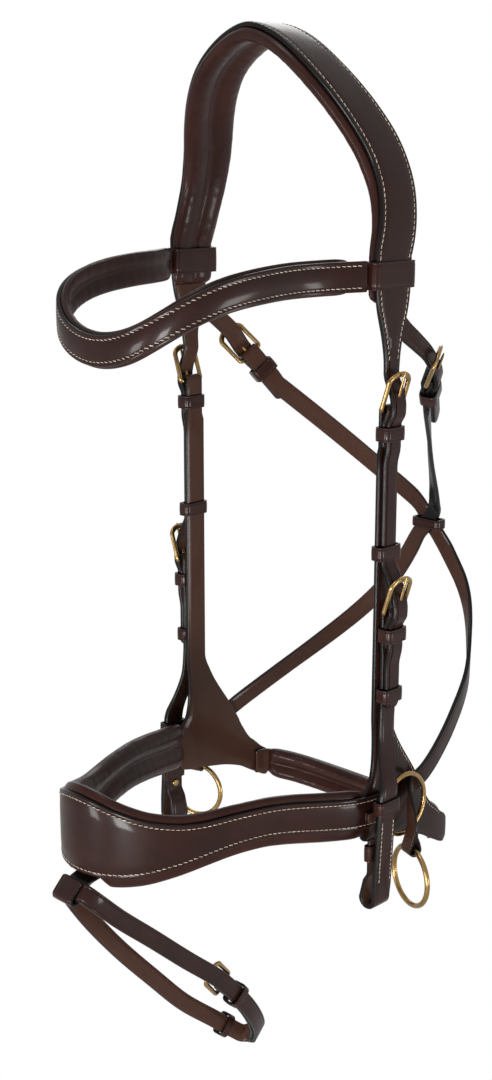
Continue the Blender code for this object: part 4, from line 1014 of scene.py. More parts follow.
def spaced_loop(path: Array, pitch: float) -> Array:
    """Add points to a closed path so that no step is longer than a pitch.

    Args:
        path: the loop's places, without the first one repeated.
        pitch: the longest step.

    Returns:
        The denser loop, which keeps every place that it had.
    """
    around = np.concatenate([path, path[:1]])
    length = run_length(around)
    even = np.linspace(0.0, length[-1], int(length[-1] / pitch) + 1)[:-1]
    places = np.unique(np.round(np.concatenate([length[:-1], even]), 7))
    places = places[np.concatenate([[True], np.diff(places) > 1e-5])]
    return np.stack([np.interp(places, length, column) for column in around.T], axis=1)


def outward_of(rows: Array, middle: Array) -> float:
    """Say which way a loop's own direction out points.

    Args:
        rows: the closed loop's rows.
        middle: the loop's middle.

    Returns:
        1 where it points away from the middle, and -1 where it points in.
    """
    path = rows[:, :3]
    out = np.cross(round_way(path), rows[:, 3:6])
    return 1.0 if np.sum(out * (path - middle)) > 0 else -1.0


def fitted(node: str, seat: Seat, up: float, low: float, high: float, width: float = WIDE.chape,
           height: float = WIDE.keeper) -> bpy.types.Object:
    """Make a keeper round everything between two distances out of a seat.

    Args:
        node: the node that it stands for.
        seat: the buckle's seat.
        up: how far up the strap it lies.
        low: the distance out at which its opening starts.
        high: the distance out at which it ends.
        width: the strap's width.
        height: the keeper's length along the strap.

    Returns:
        The keeper's object.
    """
    deep = high - low + 2 * STOCK.gap
    return keeper(node, seat, width + 4 * STOCK.gap, deep, height, (low + high) / 2, up)


def punched(node: str, spots: list[Array], normals: list[Array], word: str = "holes") -> None:
    """Sink round holes, each with a pressed rim, into a strap's face; their near-black floors are painted shade
    for the holes' depth.

    Each hole is a dish: a ring of points at the rim, one just inside it and a floor below them.

    Args:
        node: the node that they lie on.
        spots: the holes' centres on the face.
        normals: the directions out of the face.
        word: the last word of the piece's name.
    """
    turn = np.linspace(0.0, 2 * math.pi, HOLE_SIDES, endpoint=False)
    points, faces = [], []
    last = (len(HOLE_PROFILE) - 1) * HOLE_SIDES
    for start in range(0, last, HOLE_SIDES):
        for k in range(HOLE_SIDES):
            m = (k + 1) % HOLE_SIDES
            faces.append([start + k, start + m, start + HOLE_SIDES + m, start + HOLE_SIDES + k])
    faces.append([last + k for k in range(HOLE_SIDES)])
    faces.append(list(range(HOLE_SIDES))[::-1])
    for spot, normal in zip(spots, normals):
        away = np.array(normal) / np.linalg.norm(normal)
        side = unit(np.cross(away, (0.13, 0.31, 0.94)))
        up = np.cross(away, side)
        for reach, high in HOLE_PROFILE:
            ring = spot + STOCK.hole * (reach * (np.outer(np.cos(turn), side) + np.outer(np.sin(turn), up))
                                        + high * away)
            points.append(ring)
    piece = many(f"{node}_{word}", np.concatenate(points), faces, last + HOLE_SIDES, len(spots))
    # The holes take the near-black finish, which is painted shade for their depth.
    NODES.dress(piece, FINISH.hole, Slot.STRAP, node, False)


@dataclass(frozen=True)
class Buckle:
    """A cast buckle: a bar, two straight sides and a bowed free end, with its tongue on the bar."""

    word: str
    inside: float = 0.0155
    length: float = 0.0240
    tilt: float = math.radians(18.0)
    corner_share: float = 0.22
    bow_share: float = 0.62
    tongue_over: float = 0.0022
    tongue_bow: float = 0.06
    tongue_taper: float = 0.12
    swell: float = 0.30
    flatten: float = 0.10

    def outline(self) -> Array:
        """Return the frame's middle line, as distances across and up from the bar."""
        half = self.inside / 2 + STOCK.wire
        corner = half * self.corner_share
        low = arc((half - corner, corner), corner, -90, 0, 6)
        high = arc((0.0, 0.0), half, 8, 172, 26) * [1.0, self.bow_share]
        high[:, 1] += self.length - half * self.bow_share
        return np.concatenate([low, high, low[::-1] * [-1, 1]])

    def cast(self, seat: Seat, label: str) -> None:
        """Make the frame, thicker round its free end, and the tongue with its eye.

        The frame is an ellipse carried round the outline. Its size swells by the square of the height
        along the sides, from the bar's wire to the flat of the free end.
        """
        node = f"{self.word}_buckle{label}"
        loop = spaced_loop(np.column_stack([self.outline(), np.zeros(len(self.outline()))]), self.length / 34)
        rise = np.clip(loop[:, 1] / self.length, 0.0, 1.0)
        wide = STOCK.wire * (1.0 + self.swell * rise**2)
        tall = STOCK.wire * (0.98 - self.flatten * rise**2)
        shift = (wide - STOCK.wire)[:, None]
        inward = unit(loop - [0.0, self.length * 0.55, 0.0]) * shift * 0.4
        path = seat.tilted(loop - inward, self.tilt)
        middle = path.mean(axis=0)
        piece = tube(f"{node}_casting", path, unit(path - middle), wide, tall, True, 16)
        NODES.dress(piece, FINISH.brass, Slot.BRASS, node)
        eye = STOCK.wire + STOCK.gap + STOCK.pin
        turns = arc((0.0, 0.0), eye, 100, 360, 18)
        pin = [(0.0, v, u) for u, v in turns]
        reach = self.length + self.tongue_over
        pin += [(0.0, reach * s, eye * (1.0 + self.tongue_bow * math.sin(math.pi * s)))
                for s in np.linspace(0.12, 1.0, 16)]
        way = seat.tilted(np.array(pin), self.tilt)
        share = np.linspace(0.0, 1.0, len(pin))
        thick = STOCK.pin * (1.0 - self.tongue_taper * share)
        thick[-4:] *= np.array([0.97, 0.88, 0.70, 0.42])
        across, _, _ = seat.axes()
        piece = tube(f"{self.word}_tongue{label}_pin", way, across, thick * 1.1, thick, False, 12)
        NODES.dress(piece, FINISH.brass, Slot.BRASS, f"{self.word}_tongue{label}")


def ring(node: str, centre: Array, normal: Array, radius: float, wire: float) -> None:
    """Make a round ring of wire.

    Args:
        node: the node that it stands for.
        centre: its centre.
        normal: the direction square to it.
        radius: from the centre to the middle of the wire.
        wire: the wire's radius.
    """
    away = unit(np.array(normal, dtype=float))
    side = unit(np.cross((0.0, 0.0, 1.0), away))
    down = np.cross(away, side)
    turn = np.linspace(0.0, 2 * math.pi, 96, endpoint=False)
    spokes = np.outer(np.cos(turn), side) + np.outer(np.sin(turn), down)
    piece = tube(f"{node}_wire", np.array(centre) + spokes * radius, spokes, wire, wire, True, 18)
    NODES.dress(piece, FINISH.brass, Slot.BRASS, node)


def billet_lane(length: float, tilt: float) -> list[Pair]:
    """Return a billet's way past a buckle, as distances out and up: inside the free end, out over
    the bar and down on to the fold below it."""
    over = STOCK.fold + STOCK.chape / 2 + STOCK.gap + STOCK.leather / 2 + STOCK.gap
    top = length * math.cos(tilt)
    return [(-STOCK.fold * 0.1, top), (over * 0.80, top * 0.42), (over, top * 0.10),
            (over * 0.96, -length * 0.09), (STOCK.seated, -LAY.keeper_below * 0.66)]


CHEEK_BUCKLE = Buckle("cheek")
HANGER_BUCKLE = Buckle("hanger")
CROSS_BUCKLE = Buckle("cross")
FLASH_BUCKLE = Buckle("flash", inside=0.0135, length=0.0215, tilt=math.radians(-6.0))
RETURN = 0.0230


@dataclass(frozen=True)
class Padding:
    """A soft lining: two rolls and a channel, sewn down along its edges and drawn in at its ends."""

    section: tuple[Pair, ...] = ((0.90, 0.0), (1.00, 0.28), (0.97, 0.60), (0.82, 0.90), (0.58, 1.00),
                                 (0.30, 0.86), (0.0, 0.62))
    fill: float = 0.6
    pucker: float = 0.00022
    steps: int = 14
    push: float = 3.0
    tension: float = 30.0
    bending: float = 1.5
    quality: int = 5
    most: float = 0.0010
    span_steps: int = 4
    back_points: int = 7
    back_share: float = 0.9
    sewn: int = 3
    waves: Triple = (610.0, 925.0, 1430.0)

    def skin(self, node: str, rows: Array, square: bool) -> bpy.types.Object:
        """Carry the rolls' section along a path.

        The section is a smooth curve through shares of half the width and of the depth. Small folds
        cross the rolls: three sines along the path, whose sum is scaled by the height of the roll.

        Args:
            node: the node that it stands for.
            rows: place, direction across, width and depth; the leather lies out of the path.
            square: whether the direction across is turned square to the path.

        Returns:
            The lining before it swells.
        """
        _, across, out = frames(rows[:, :3], rows[:, 3:6], square)
        half, deep = rows[:, 6:7] / 2, rows[:, 7:8]
        right = np.array(self.section)
        outline = smooth(np.concatenate([right, right[-2::-1] * [-1, 1]]), self.span_steps)
        flat = np.linspace(-self.back_share, self.back_share, self.back_points + 2)[1:-1]
        outline = np.concatenate([outline, np.column_stack([flat, np.zeros(self.back_points)])])
        length = run_length(rows)
        waves = sum(np.sin(length * k + k * 0.01) for k in self.waves)[:, None] / len(self.waves)
        u = half * outline[:, 0]
        v = deep * outline[:, 1] + self.pucker * waves * outline[:, 1] ** 2
        points = rows[:, None, :3] + across[:, None] * u[..., None] - out[:, None] * v[..., None]
        tints = {"edge": np.zeros(points.shape[:2]), "flesh": np.zeros(points.shape[:2])}
        return grid_mesh(f"{node}_lining", points, False, True, tints)

    def swell(self, piece: bpy.types.Object, held: Array) -> None:
        """Let the lining swell as stuffed cloth, with its sewn back held, and cap how far it moves.

        Args:
            piece: the lining.
            held: a share for each point, 1 where it is sewn down.
        """
        scene = bpy.context.scene
        mesh = piece.data
        start = np.empty(len(mesh.vertices) * 3, np.float32)
        mesh.vertices.foreach_get("co", start)
        group = piece.vertex_groups.new(name="sewn")
        for k in np.flatnonzero(held > 0.5).tolist():
            group.add([k], 1.0, "REPLACE")
        cloth = piece.modifiers.new("swell", "CLOTH")
        settings = cloth.settings
        settings.use_pressure = True
        settings.uniform_pressure_force = self.push
        settings.effector_weights.gravity = 0.0
        settings.vertex_group_mass = group.name
        settings.tension_stiffness = self.tension
        settings.bending_stiffness = self.bending
        settings.quality = self.quality
        cloth.point_cache.frame_end = self.steps
        for step in range(1, self.steps + 1):
            scene.frame_set(step)
        moved = piece.evaluated_get(bpy.context.evaluated_depsgraph_get()).to_mesh()
        end = np.empty_like(start)
        moved.vertices.foreach_get("co", end)
        shift = (end - start).reshape(-1, 3)
        size = np.linalg.norm(shift, axis=1)[:, None]
        shift *= np.minimum(1.0, self.most / np.maximum(size, 1e-9))
        piece.modifiers.remove(cloth)
        piece.vertex_groups.remove(group)
        mesh.vertices.foreach_set("co", (start.reshape(-1, 3) + shift).ravel().astype(np.float32))
        mesh.update()
        scene.frame_set(1)

    def dress(self, node: str, rows: Array, square: bool = True) -> bpy.types.Object:
        """Make, swell and finish the lining that stands for a node.

        Args:
            node: the node.
            rows: the lining's rows.
            square: whether the direction across is turned square to the path.

        Returns:
            The lining.
        """
        piece = self.skin(node, rows, square)
        columns = self.span_steps * (2 * len(self.section) - 2) + 1 + self.back_points
        held = np.zeros((len(rows), columns))
        held[:, -self.back_points - self.sewn:] = 1.0
        held[:, :self.sewn] = 1.0
        held[:2] = 1.0
        held[-2:] = 1.0
        self.swell(piece, held.ravel())
        NODES.dress(piece, FINISH.pad, Slot.PAD, node)
        return piece


def drawn_in(rows: Array, length: float, share: float) -> Array:
    """Draw a size in at both ends of a run of rows, by a quarter of a circle.

    Args:
        rows: the rows whose path is followed.
        length: how far in from each end the size falls off.
        share: what is left of it at the very end.

    Returns:
        A share for each row, 1 in the middle.
    """
    along = run_length(rows)
    reach = np.clip(np.minimum(along, along[-1] - along) / length, 0.0, 1.0)
    return share + (1 - share) * np.sqrt(1 - (1 - reach) ** 2)


def lining_path(rows: Array, pitch: float, cut: int) -> Array:
    """Return the way of a lining that lies against a strap's inside.

    Args:
        rows: the strap's rows.
        pitch: how far apart the lining's rows are.
        cut: how many of them are left out at each end.

    Returns:
        The rows, moved inwards to the strap's face and a gap more.
    """
    _, _, out = frames(rows[:, :3], rows[:, 3:6], False)
    moved = rows.copy()
    moved[:, :3] += out * (-STOCK.leather / 2 - STOCK.gap)
    return spaced(moved, pitch)[cut:-cut]


@dataclass(frozen=True)
class Headpiece:
    """The crown, its billets and its lining."""

    crown_height: float = 0.1330
    foot_drop: float = 0.1270
    lean: float = 0.0190
    width: float = 0.0325
    pad_width: float = 0.0390
    pad_foot_width: float = 0.0340
    pad_depth: float = 0.0085
    pad_foot_depth: float = 0.0055
    pad_foot_drop: float = 0.1560
    steps: int = 64
    lean_shares: tuple[Pair, ...] = (
        (0.00, 0.00), (0.13, -0.25), (0.28, -0.36), (0.43, -0.22), (0.58, 0.16), (0.73, 0.60),
        (0.86, 0.90), (1.00, 1.00))
    foot_shares: tuple[Pair, ...] = ((0.34, 0.05), (0.48, 0.30), (0.66, 0.78), (0.82, 0.96))

    def crown(self) -> Array:
        """Return half of the crown from the near foot to the top.

        Sideways it is the cosine to the power 1.2 and upwards the sine of one angle. It leans
        forwards by the table of shares of its height.
        """
        turn = np.linspace(0.0, math.pi / 2, self.steps + 1)
        rise = np.sin(turn)
        table = smooth(np.array(self.lean_shares), 3)
        forward = np.interp(rise, table[:, 0], table[:, 1])
        thick = STOCK.leather + (STOCK.crown - STOCK.leather) * np.minimum(rise * 2, 1.0)
        side = LAY.half_width * np.cos(turn) ** 1.2
        side[-1] = 0.0
        places = np.column_stack([side, LAY.head_line - self.lean * forward,
                                  self.crown_height * rise - self.foot_drop])
        rows = rows_of(places, (0, -1, 0), self.width, LAY.half_width)
        rows[:, 7] = thick
        return rows

    def billets(self) -> Array:
        """Return the near billet from its tip, past both buckles, to the foot of the crown."""
        hang = cheek_seat(Side.NEAR, LAY.hanger_in, LAY.hanger_bar)
        cheek = cheek_seat(Side.NEAR, LAY.cheek_in, LAY.cheek_bar)
        ahead, tip, flat = np.array([0.0, -1.0, 0.0]), -LAY.tip_below, STOCK.flat
        low = [(flat, tip * 0.97), (flat, tip * 0.94), (flat, tip * 0.80), (flat, -RETURN * 1.55),
               (STOCK.seated, -RETURN)]
        lane = billet_lane(CHEEK_BUCKLE.length, CHEEK_BUCKLE.tilt)[::-1]
        runner = LAY.hanger_runner_below
        mid = [(flat, -runner - WIDE.keeper * 0.55), (flat, -runner * 0.7)] + low[3:]
        rows = joined(cheek.rows([(flat, tip)], WIDE.billet * 0.5, STOCK.leather, ahead),
                      cheek.rows(low[:1], WIDE.billet * 0.86, STOCK.leather, ahead),
                      cheek.rows(low[1:] + lane, WIDE.billet, STOCK.leather, ahead),
                      hang.rows(mid + lane, WIDE.billet, STOCK.leather, ahead))
        foot = []
        for share, wide in self.foot_shares:
            place = (LAY.half_width, LAY.strap_line + (LAY.head_line - LAY.strap_line) * share,
                     (LAY.hanger_bar - self.foot_drop) * share - LAY.hanger_bar)
            foot.append(rows_of(place, ahead, WIDE.billet + (self.width - WIDE.billet) * wide, STOCK.leather))
        return joined(rows, *foot)

    def build(self) -> None:
        """Make the crown with its billets, stitches, holes and lining."""
        crown = self.crown()
        half = joined(smooth(joined(self.billets(), crown[:1]), 4)[:-1], crown)
        whole = both_halves(half)
        whole[:, 3:6] = (0, -1, 0)
        dress_strap("headpiece_leather", whole, STITCHED)
        stitched = whole[whole[:, 2] > -LAY.hanger_bar + RETURN * 1.1]
        dress_stitches("headpiece_leather", stitched)
        spots, normals = [], []
        for side in Side:
            for inward, drop, count in ((LAY.hanger_in, LAY.hanger_bar, 5), (LAY.cheek_in, LAY.cheek_bar, 2)):
                seat = cheek_seat(side, inward, drop)
                for k in range(count):
                    up = -RETURN * 1.25 - STOCK.hole_pitch * (k if count > 2 else k + 0.35)
                    spots.append(seat.at(STOCK.flat + STOCK.leather / 2, up))
                    normals.append(seat.axes()[2])
        punched("headpiece_leather", spots, normals)
        self.pad(crown)

    def pad(self, crown: Array) -> None:
        """Make the lining under the crown, narrower and thinner at its feet.

        Args:
            crown: the near half of the crown.
        """
        rise = self.pad_foot_drop - self.foot_drop
        feet = [(LAY.half_width, LAY.head_line, -self.pad_foot_drop + rise * s)
                for s in np.linspace(0.0, 0.9, 8)]
        half = joined(rows_of(feet, (0, -1, 0), 0.0, STOCK.leather), crown)
        whole = both_halves(half)
        whole[:, 3:6] = (0, -1, 0)
        rows = spaced(whole, LINING_STEP)
        rows[:, 3:6] = (0, -1, 0)
        _, _, out = frames(rows[:, :3], rows[:, 3:6])
        rows[:, :3] -= out * (rows[:, 7:8] / 2 + STOCK.gap)
        top = np.clip((rows[:, 2] + self.foot_drop) / self.crown_height * 2.5, 0.0, 1.0)
        rows[:, 6] = self.pad_foot_width + (self.pad_width - self.pad_foot_width) * top
        rows[:, 7] = self.pad_foot_depth + (self.pad_depth - self.pad_foot_depth) * top
        rows[:, 7] *= drawn_in(rows, 0.008, 0.35)
        rows[:, 6] *= drawn_in(rows, 0.006, 0.80)
        Padding().dress("headpiece_pad", rows)


@dataclass(frozen=True)
class Browband:
    """The wave browband, its lining and the loops that hold it on the headpiece."""

    drop: float = 0.1400
    reach: float = 0.1615
    dip: float = 0.0393
    width: float = 0.0185
    pad_width: float = 0.0215
    pad_depth: float = 0.0055
    loop_height: float = 0.0165
    shares: tuple[Triple, ...] = (
        (0.968, 0.145, 0.000), (0.915, 0.200, 0.005), (0.855, 0.265, 0.012), (0.810, 0.345, 0.020),
        (0.785, 0.432, 0.030), (0.770, 0.510, 0.052), (0.757, 0.590, 0.085), (0.738, 0.665, 0.130),
        (0.713, 0.735, 0.192), (0.675, 0.805, 0.285), (0.620, 0.868, 0.410), (0.540, 0.920, 0.560),
        (0.440, 0.957, 0.710), (0.330, 0.979, 0.840), (0.220, 0.991, 0.930), (0.110, 0.998, 0.982),
        (0.000, 1.000, 1.000))

    def build(self) -> None:
        """Make the band, its two stitch lines, its lining and its loops."""
        table = np.array(self.shares)
        places = np.column_stack([table[:, 0] * LAY.half_width, -table[:, 1] * self.reach,
                                  -self.drop - table[:, 2] * self.dip])
        half = rows_of(places, (0, 0, -1), self.width, STOCK.leather)
        whole = smooth(both_halves(half), 2)
        whole = smooth(whole, 4)
        dress_strap("browband_leather", whole, STITCHED, square=False)
        dress_stitches("browband_leather", whole, square=False)
        inner = lining_path(whole, LINING_STEP, 5)
        inner[:, 6] = self.pad_width * drawn_in(inner, 0.010, 0.80)
        inner[:, 7] = self.pad_depth * drawn_in(inner, 0.014, 0.40)
        Padding().dress("browband_pad", inner, False)
        deep = STOCK.leather + HEADPIECE.pad_foot_depth + 4 * STOCK.gap
        middle = LAY.half_width + STOCK.leather / 2 + STOCK.gap - deep / 2
        for side in Side:
            seat = Seat((side.value * middle, LAY.head_line, -self.drop), (0, 0, 1), (side.value, 0, 0))
            keeper(f"browband_loop_{side.label}", seat, HEADPIECE.pad_foot_width + 4 * STOCK.gap, deep,
                   self.loop_height)


@dataclass(frozen=True)
class Noseband:
    """The shaped noseband, the padded chin strap and the hangers whose plates join them."""

    drop: float = 0.4790
    reach: float = 0.1833
    rise: float = 0.0150
    end_width: float = 0.0215
    front_width: float = 0.0506
    end_back: float = 0.0080
    pad_above: float = 0.0040
    pad_below: float = 0.0080
    pad_tuck: float = 0.0110
    tuck_share: float = 0.15
    pad_depth: float = 0.0095
    pad_step: float = 0.0024
    spread_drop: float = 0.4200
    chin_drop: float = 0.5230
    chin_sag: float = 0.0050
    chin_back: float = 0.0930
    chin_end_back: float = 0.0640
    chin_width: float = 0.0180
    chin_pad_width: float = 0.0230
    chin_pad_depth: float = 0.0090
    shares: tuple[tuple[float, float, float, float], ...] = (
        (1.000, -0.04, -0.34, 0.02), (1.000, 0.060, -0.30, 0.01), (0.995, 0.131, -0.21, 0.00),
        (0.930, 0.261, 0.01, 0.00), (0.852, 0.378, 0.24, -0.01), (0.774, 0.493, 0.37, -0.03),
        (0.696, 0.606, 0.31, 0.00), (0.619, 0.707, 0.15, 0.08), (0.538, 0.795, 0.06, 0.24),
        (0.453, 0.868, 0.08, 0.44), (0.362, 0.922, 0.17, 0.63), (0.255, 0.965, 0.30, 0.81),
        (0.132, 0.991, 0.41, 0.95), (0.000, 1.000, 0.45, 1.00))
    chin_shares: tuple[Triple, ...] = (
        (0.996, 0.600, -0.9), (0.988, 0.680, -0.8), (0.950, 0.750, -0.6), (0.880, 0.815, -0.3),
        (0.770, 0.890, 0.1), (0.580, 0.950, 0.5), (0.300, 0.988, 0.8), (0.000, 1.000, 0.9))
    front_shares: tuple[Pair, ...] = (
        (-0.150, 0.120), (-0.150, 0.310), (-0.200, 0.450), (-0.295, 0.530), (-0.300, 0.800),
        (0.000, 0.850), (0.390, 0.900), (0.700, 0.970), (0.950, 1.060), (1.060, 1.090), (1.130, 1.050))
    rear_shares: tuple[Pair, ...] = (
        (0.160, 0.120), (0.300, 0.270), (0.460, 0.410), (0.575, 0.520), (0.655, 0.610),
        (0.715, 0.670), (0.780, 0.730), (0.860, 0.780), (0.970, 0.840), (1.060, 0.880), (1.130, 0.930))
    in_shares: tuple[float, ...] = (1.0, 1.0, 1.0, 1.0, 1.0, 1.0, 1.0, 1.0, 0.994, 0.984, 0.972)

    def band(self) -> Array:
        """Return the noseband's rows, wide over the nose and narrow at the cheeks."""
        table = np.array(self.shares)
        places = np.column_stack([table[:, 0] * LAY.noseband_in, -table[:, 1] * self.reach,
                                  -self.drop + table[:, 2] * self.rise])
        places[0, 1] = self.end_back
        half = rows_of(places, (0, 0, -1), 0.0, STOCK.leather)
        half[:, 6] = self.end_width + table[:, 3] * (self.front_width - self.end_width)
        return smooth(smooth(both_halves(half), 2), 4)

    def build(self) -> None:
        """Make the noseband, its stitches and its lining, then the chin strap and the hangers."""
        whole = self.band()
        dress_strap("noseband_leather", whole, STITCHED, square=False)
        dress_stitches("noseband_leather", whole, square=False)
        inner = lining_path(whole, self.pad_step, 11)
        aside = (abs(inner[:, 0]) - WIDE.flash_loop / 2) / self.pad_tuck
        below = self.pad_below * np.clip(aside, self.tuck_share, 1.0)
        inner[:, 2] += (self.pad_above - below) / 2
        inner[:, 6] = (inner[:, 6] + self.pad_above + below) * drawn_in(inner, 0.012, 0.85)
        inner[:, 7] = self.pad_depth * drawn_in(inner, 0.022, 0.35)
        Padding().dress("noseband_pad", inner, False)
        self.chin()
        for side in Side:
            self.hanger(side)

    def chin(self) -> None:
        """Make the strap behind the chin and its lining."""
        table = np.array(self.chin_shares)
        places = np.column_stack([table[:, 0] * LAY.chin_in, table[:, 1] * self.chin_back,
                                  -self.chin_drop - table[:, 2] * self.chin_sag])
        half = rows_of(places, (0, 0, 1), self.chin_width, STOCK.leather)
        whole = smooth(smooth(both_halves(half), 2), 3)
        dress_strap("chin_strap", whole, STITCHED, square=False)
        dress_stitches("chin_strap", whole, square=False)
        inner = lining_path(whole, LINING_STEP, 5)
        inner[:, 6] = self.chin_pad_width * drawn_in(inner, 0.010, 0.75)
        inner[:, 7] = self.chin_pad_depth * drawn_in(inner, 0.016, 0.40)
        Padding().dress("chin_pad", inner, False)

    def hanger(self, side: Side) -> None:
        """Make one hanger: the fold at its buckle, the strap and the plate that joins the chin strap.

        Args:
            side: the side that it hangs on.
        """
        seat = cheek_seat(Side.NEAR, LAY.hanger_in, LAY.hanger_bar)
        fold = seat.rows(chape_lane(STOCK.fold, STOCK.chape, RETURN, RETURN), WIDE.chape, STOCK.chape, FORE)
        drops = (LAY.hanger_bar + RETURN * 1.2, (LAY.hanger_bar + self.spread_drop) / 2, self.spread_drop)
        run = rows_of([(LAY.hanger_in, LAY.strap_line, -drop) for drop in drops], FORE, WIDE.hanger,
                      STOCK.leather)
        size = [self.chin_end_back, self.spread_drop - self.chin_drop]
        front = np.array(self.front_shares) * size - [0.0, self.spread_drop]
        rear = np.array(self.rear_shares) * size - [0.0, self.spread_drop]
        spread = rear - front
        inward = np.array(self.in_shares) * LAY.hanger_in
        plate = rows_of(np.column_stack([inward, (front + rear) / 2]), FORE, 0.0, STOCK.leather)
        plate[:, 6] = np.linalg.norm(spread, axis=1)
        plate[:, 4:6] = unit(spread)
        rows = joined(fold, smooth(smooth(joined(run, plate), 2), 3))
        rows[:, 3] = 0.0
        rows = flipped(rows, side)
        node = f"noseband_hanger_{side.label}"
        face = 1.0 if side is Side.NEAR else -1.0
        dress_strap(node, rows, LINED, square=False, face=face)
        straight = rows[(rows[:, 2] < -self.spread_drop + 0.02) & (rows[:, 1] < self.chin_end_back)]
        dress_stitches(node, straight, FINE_THREAD, square=False, face=face,
                       edges=(1,))


STITCHED = Section(line_inset=0.0028, line_half=0.00075, line_depth=0.00028, crown=0.0003)
HEADPIECE = Headpiece()


@dataclass(frozen=True)
class Cheek:
    """One side's cheekpiece with its buckles, keepers, hooked end and rings."""

    side: Side
    low_keeper_drop: float = 0.4765
    bit_keeper_drop: float = 0.5080
    bit_keeper_height: float = 0.0110
    inner_top_drop: float = 0.4985
    stud_drop: float = 0.5175
    stud_radius: float = 0.0012
    stud_head_radius: float = 0.0028
    stud_head: float = 0.0012
    loop_inside: float = 0.0080
    ring_radius: float = 0.0205
    ring_back: float = 0.0140
    ring_drop: float = 0.4850
    ring_chape_length: float = 0.0150
    rein_ring_radius: float = 0.0200
    sewn_top: float = 0.4815
    sewn_foot: float = 0.5350
    sewn_slack: float = 0.0008
    sewn_inset: float = 0.0024
    tab_back: float = 0.0130
    tab_drop: float = 0.5135
    tab_across: Triple = (0.951, -0.309, 0.0)
    shares: tuple[Triple, ...] = (
        (0.00, 0.00, 0.32), (0.00, 0.02, 0.36), (0.10, 0.10, 0.44), (0.58, 0.38, 0.53),
        (0.93, 0.56, 0.585), (1.00, 0.66, 0.62), (1.00, 0.76, 0.70), (1.00, 0.85, 0.80),
        (1.00, 0.96, 0.93))

    def rows(self) -> tuple[Array, float]:
        """Return the near cheekpiece's rows and the inward place of its hooked ply."""
        seat = cheek_seat(Side.NEAR, LAY.cheek_in, LAY.cheek_bar)
        fold = seat.rows(chape_lane(STOCK.fold, STOCK.chape, RETURN, RETURN), WIDE.chape, STOCK.chape, FORE)
        table = np.array(self.shares)
        places = np.column_stack([LAY.cheek_in + table[:, 0] * (LAY.bit_end_in - LAY.cheek_in),
                                  LAY.strap_line - table[:, 1] * LAY.cheek_forward,
                                  -LAY.cheek_bar - table[:, 2] * (LAY.bit_drop - LAY.cheek_bar)])
        grown = np.clip((table[:, 2] - 0.53) / 0.08, 0.0, 1.0) * (table[:, 2] < 0.95)
        run = rows_of(places, FORE, 0.0, 0.0)
        run[:, 6] = WIDE.cheek + (WIDE.bit_end - WIDE.cheek) * grown
        run[:, 7] = STOCK.leather + (STOCK.bit_end - STOCK.leather) * grown
        start = rows_of(seat.at(-STOCK.fold, -RETURN * 1.2), FORE, WIDE.cheek, STOCK.leather)
        line = LAY.strap_line - LAY.cheek_forward
        radius = (self.loop_inside + STOCK.leather) / 2
        low = -LAY.bit_drop + radius - STOCK.leather / 2
        turn = arc((LAY.bit_end_in - radius, low), radius, 0, -180, 18)
        bottom = rows_of([(x, line, z) for x, z in turn], FORE, WIDE.bit_end, STOCK.leather)
        inner = LAY.bit_end_in - STOCK.bit_end / 2 - 2 * STOCK.gap - STOCK.keeper_wall - STOCK.chape / 2
        upward = [((LAY.bit_end_in - 2 * radius) * 0.6 + inner * 0.4, line,
                   -self.stud_drop - self.bit_keeper_height * 0.95),
                  (inner, line, -self.stud_drop - self.stud_head_radius * 1.3),
                  (inner, line, -self.inner_top_drop)]
        up = smooth(rows_of(upward, FORE, WIDE.bit_end * 0.9, STOCK.chape), 5)
        return joined(fold, smooth(smooth(joined(start, run), 2), 3), bottom, up), inner

    def build(self) -> None:
        """Make the cheekpiece, its stitches, its keepers, its stud, its buckles and its rings."""
        side, label = self.side, self.side.label
        sign = side.value
        rows, inner = self.rows()
        rows = flipped(rows, side)
        node = f"cheekpiece_{label}"
        dress_strap(node, rows, LINED, face=float(sign))
        down, out = -rows[:, 2], abs(rows[:, 0])
        sewn = (down > self.sewn_top) & (down < self.sewn_foot) & (out > LAY.bit_end_in - self.sewn_slack)
        dress_stitches(node, rows[sewn], FINE_THREAD, face=float(sign), inset=self.sewn_inset)
        line = LAY.strap_line - LAY.cheek_forward
        self.stud(inner, line)
        seat = Seat((sign * inner, line, -self.bit_keeper_drop), (0, 0, 1), (sign, 0, 0))
        keeper(f"bit_keeper_{label}", seat, WIDE.bit_end * 0.9 + 2 * STOCK.gap, STOCK.chape + 2 * STOCK.gap,
               self.bit_keeper_height)
        ahead = LAY.strap_line - LAY.cheek_forward * 0.71
        seat = Seat((sign * LAY.bit_end_in, ahead, -self.low_keeper_drop), (0, 0, 1), (sign, 0, 0))
        keeper(f"low_keeper_{label}", seat, WIDE.bit_end + 4 * STOCK.gap, STOCK.bit_end + 2 * STOCK.gap,
               WIDE.keeper)
        hang = cheek_seat(side, LAY.hanger_in, LAY.hanger_bar)
        cheek = cheek_seat(side, LAY.cheek_in, LAY.cheek_bar)
        HANGER_BUCKLE.cast(hang, f"_{label}")
        CHEEK_BUCKLE.cast(cheek, f"_{label}")
        low, high = -STOCK.fold - STOCK.chape / 2, STOCK.seated + STOCK.leather / 2
        fitted(f"hanger_keeper_{label}", hang, -LAY.keeper_below, low, high)
        fitted(f"cheek_keeper_{label}", cheek, -LAY.keeper_below, low, high)
        low, high = -STOCK.fold - STOCK.leather / 2, STOCK.flat + STOCK.leather / 2
        fitted(f"hanger_runner_{label}", hang, -LAY.hanger_runner_below, low, high, WIDE.hanger)
        fitted(f"cheek_runner_{label}", cheek, -LAY.cheek_runner_below, low, high, WIDE.cheek)
        self.rings()

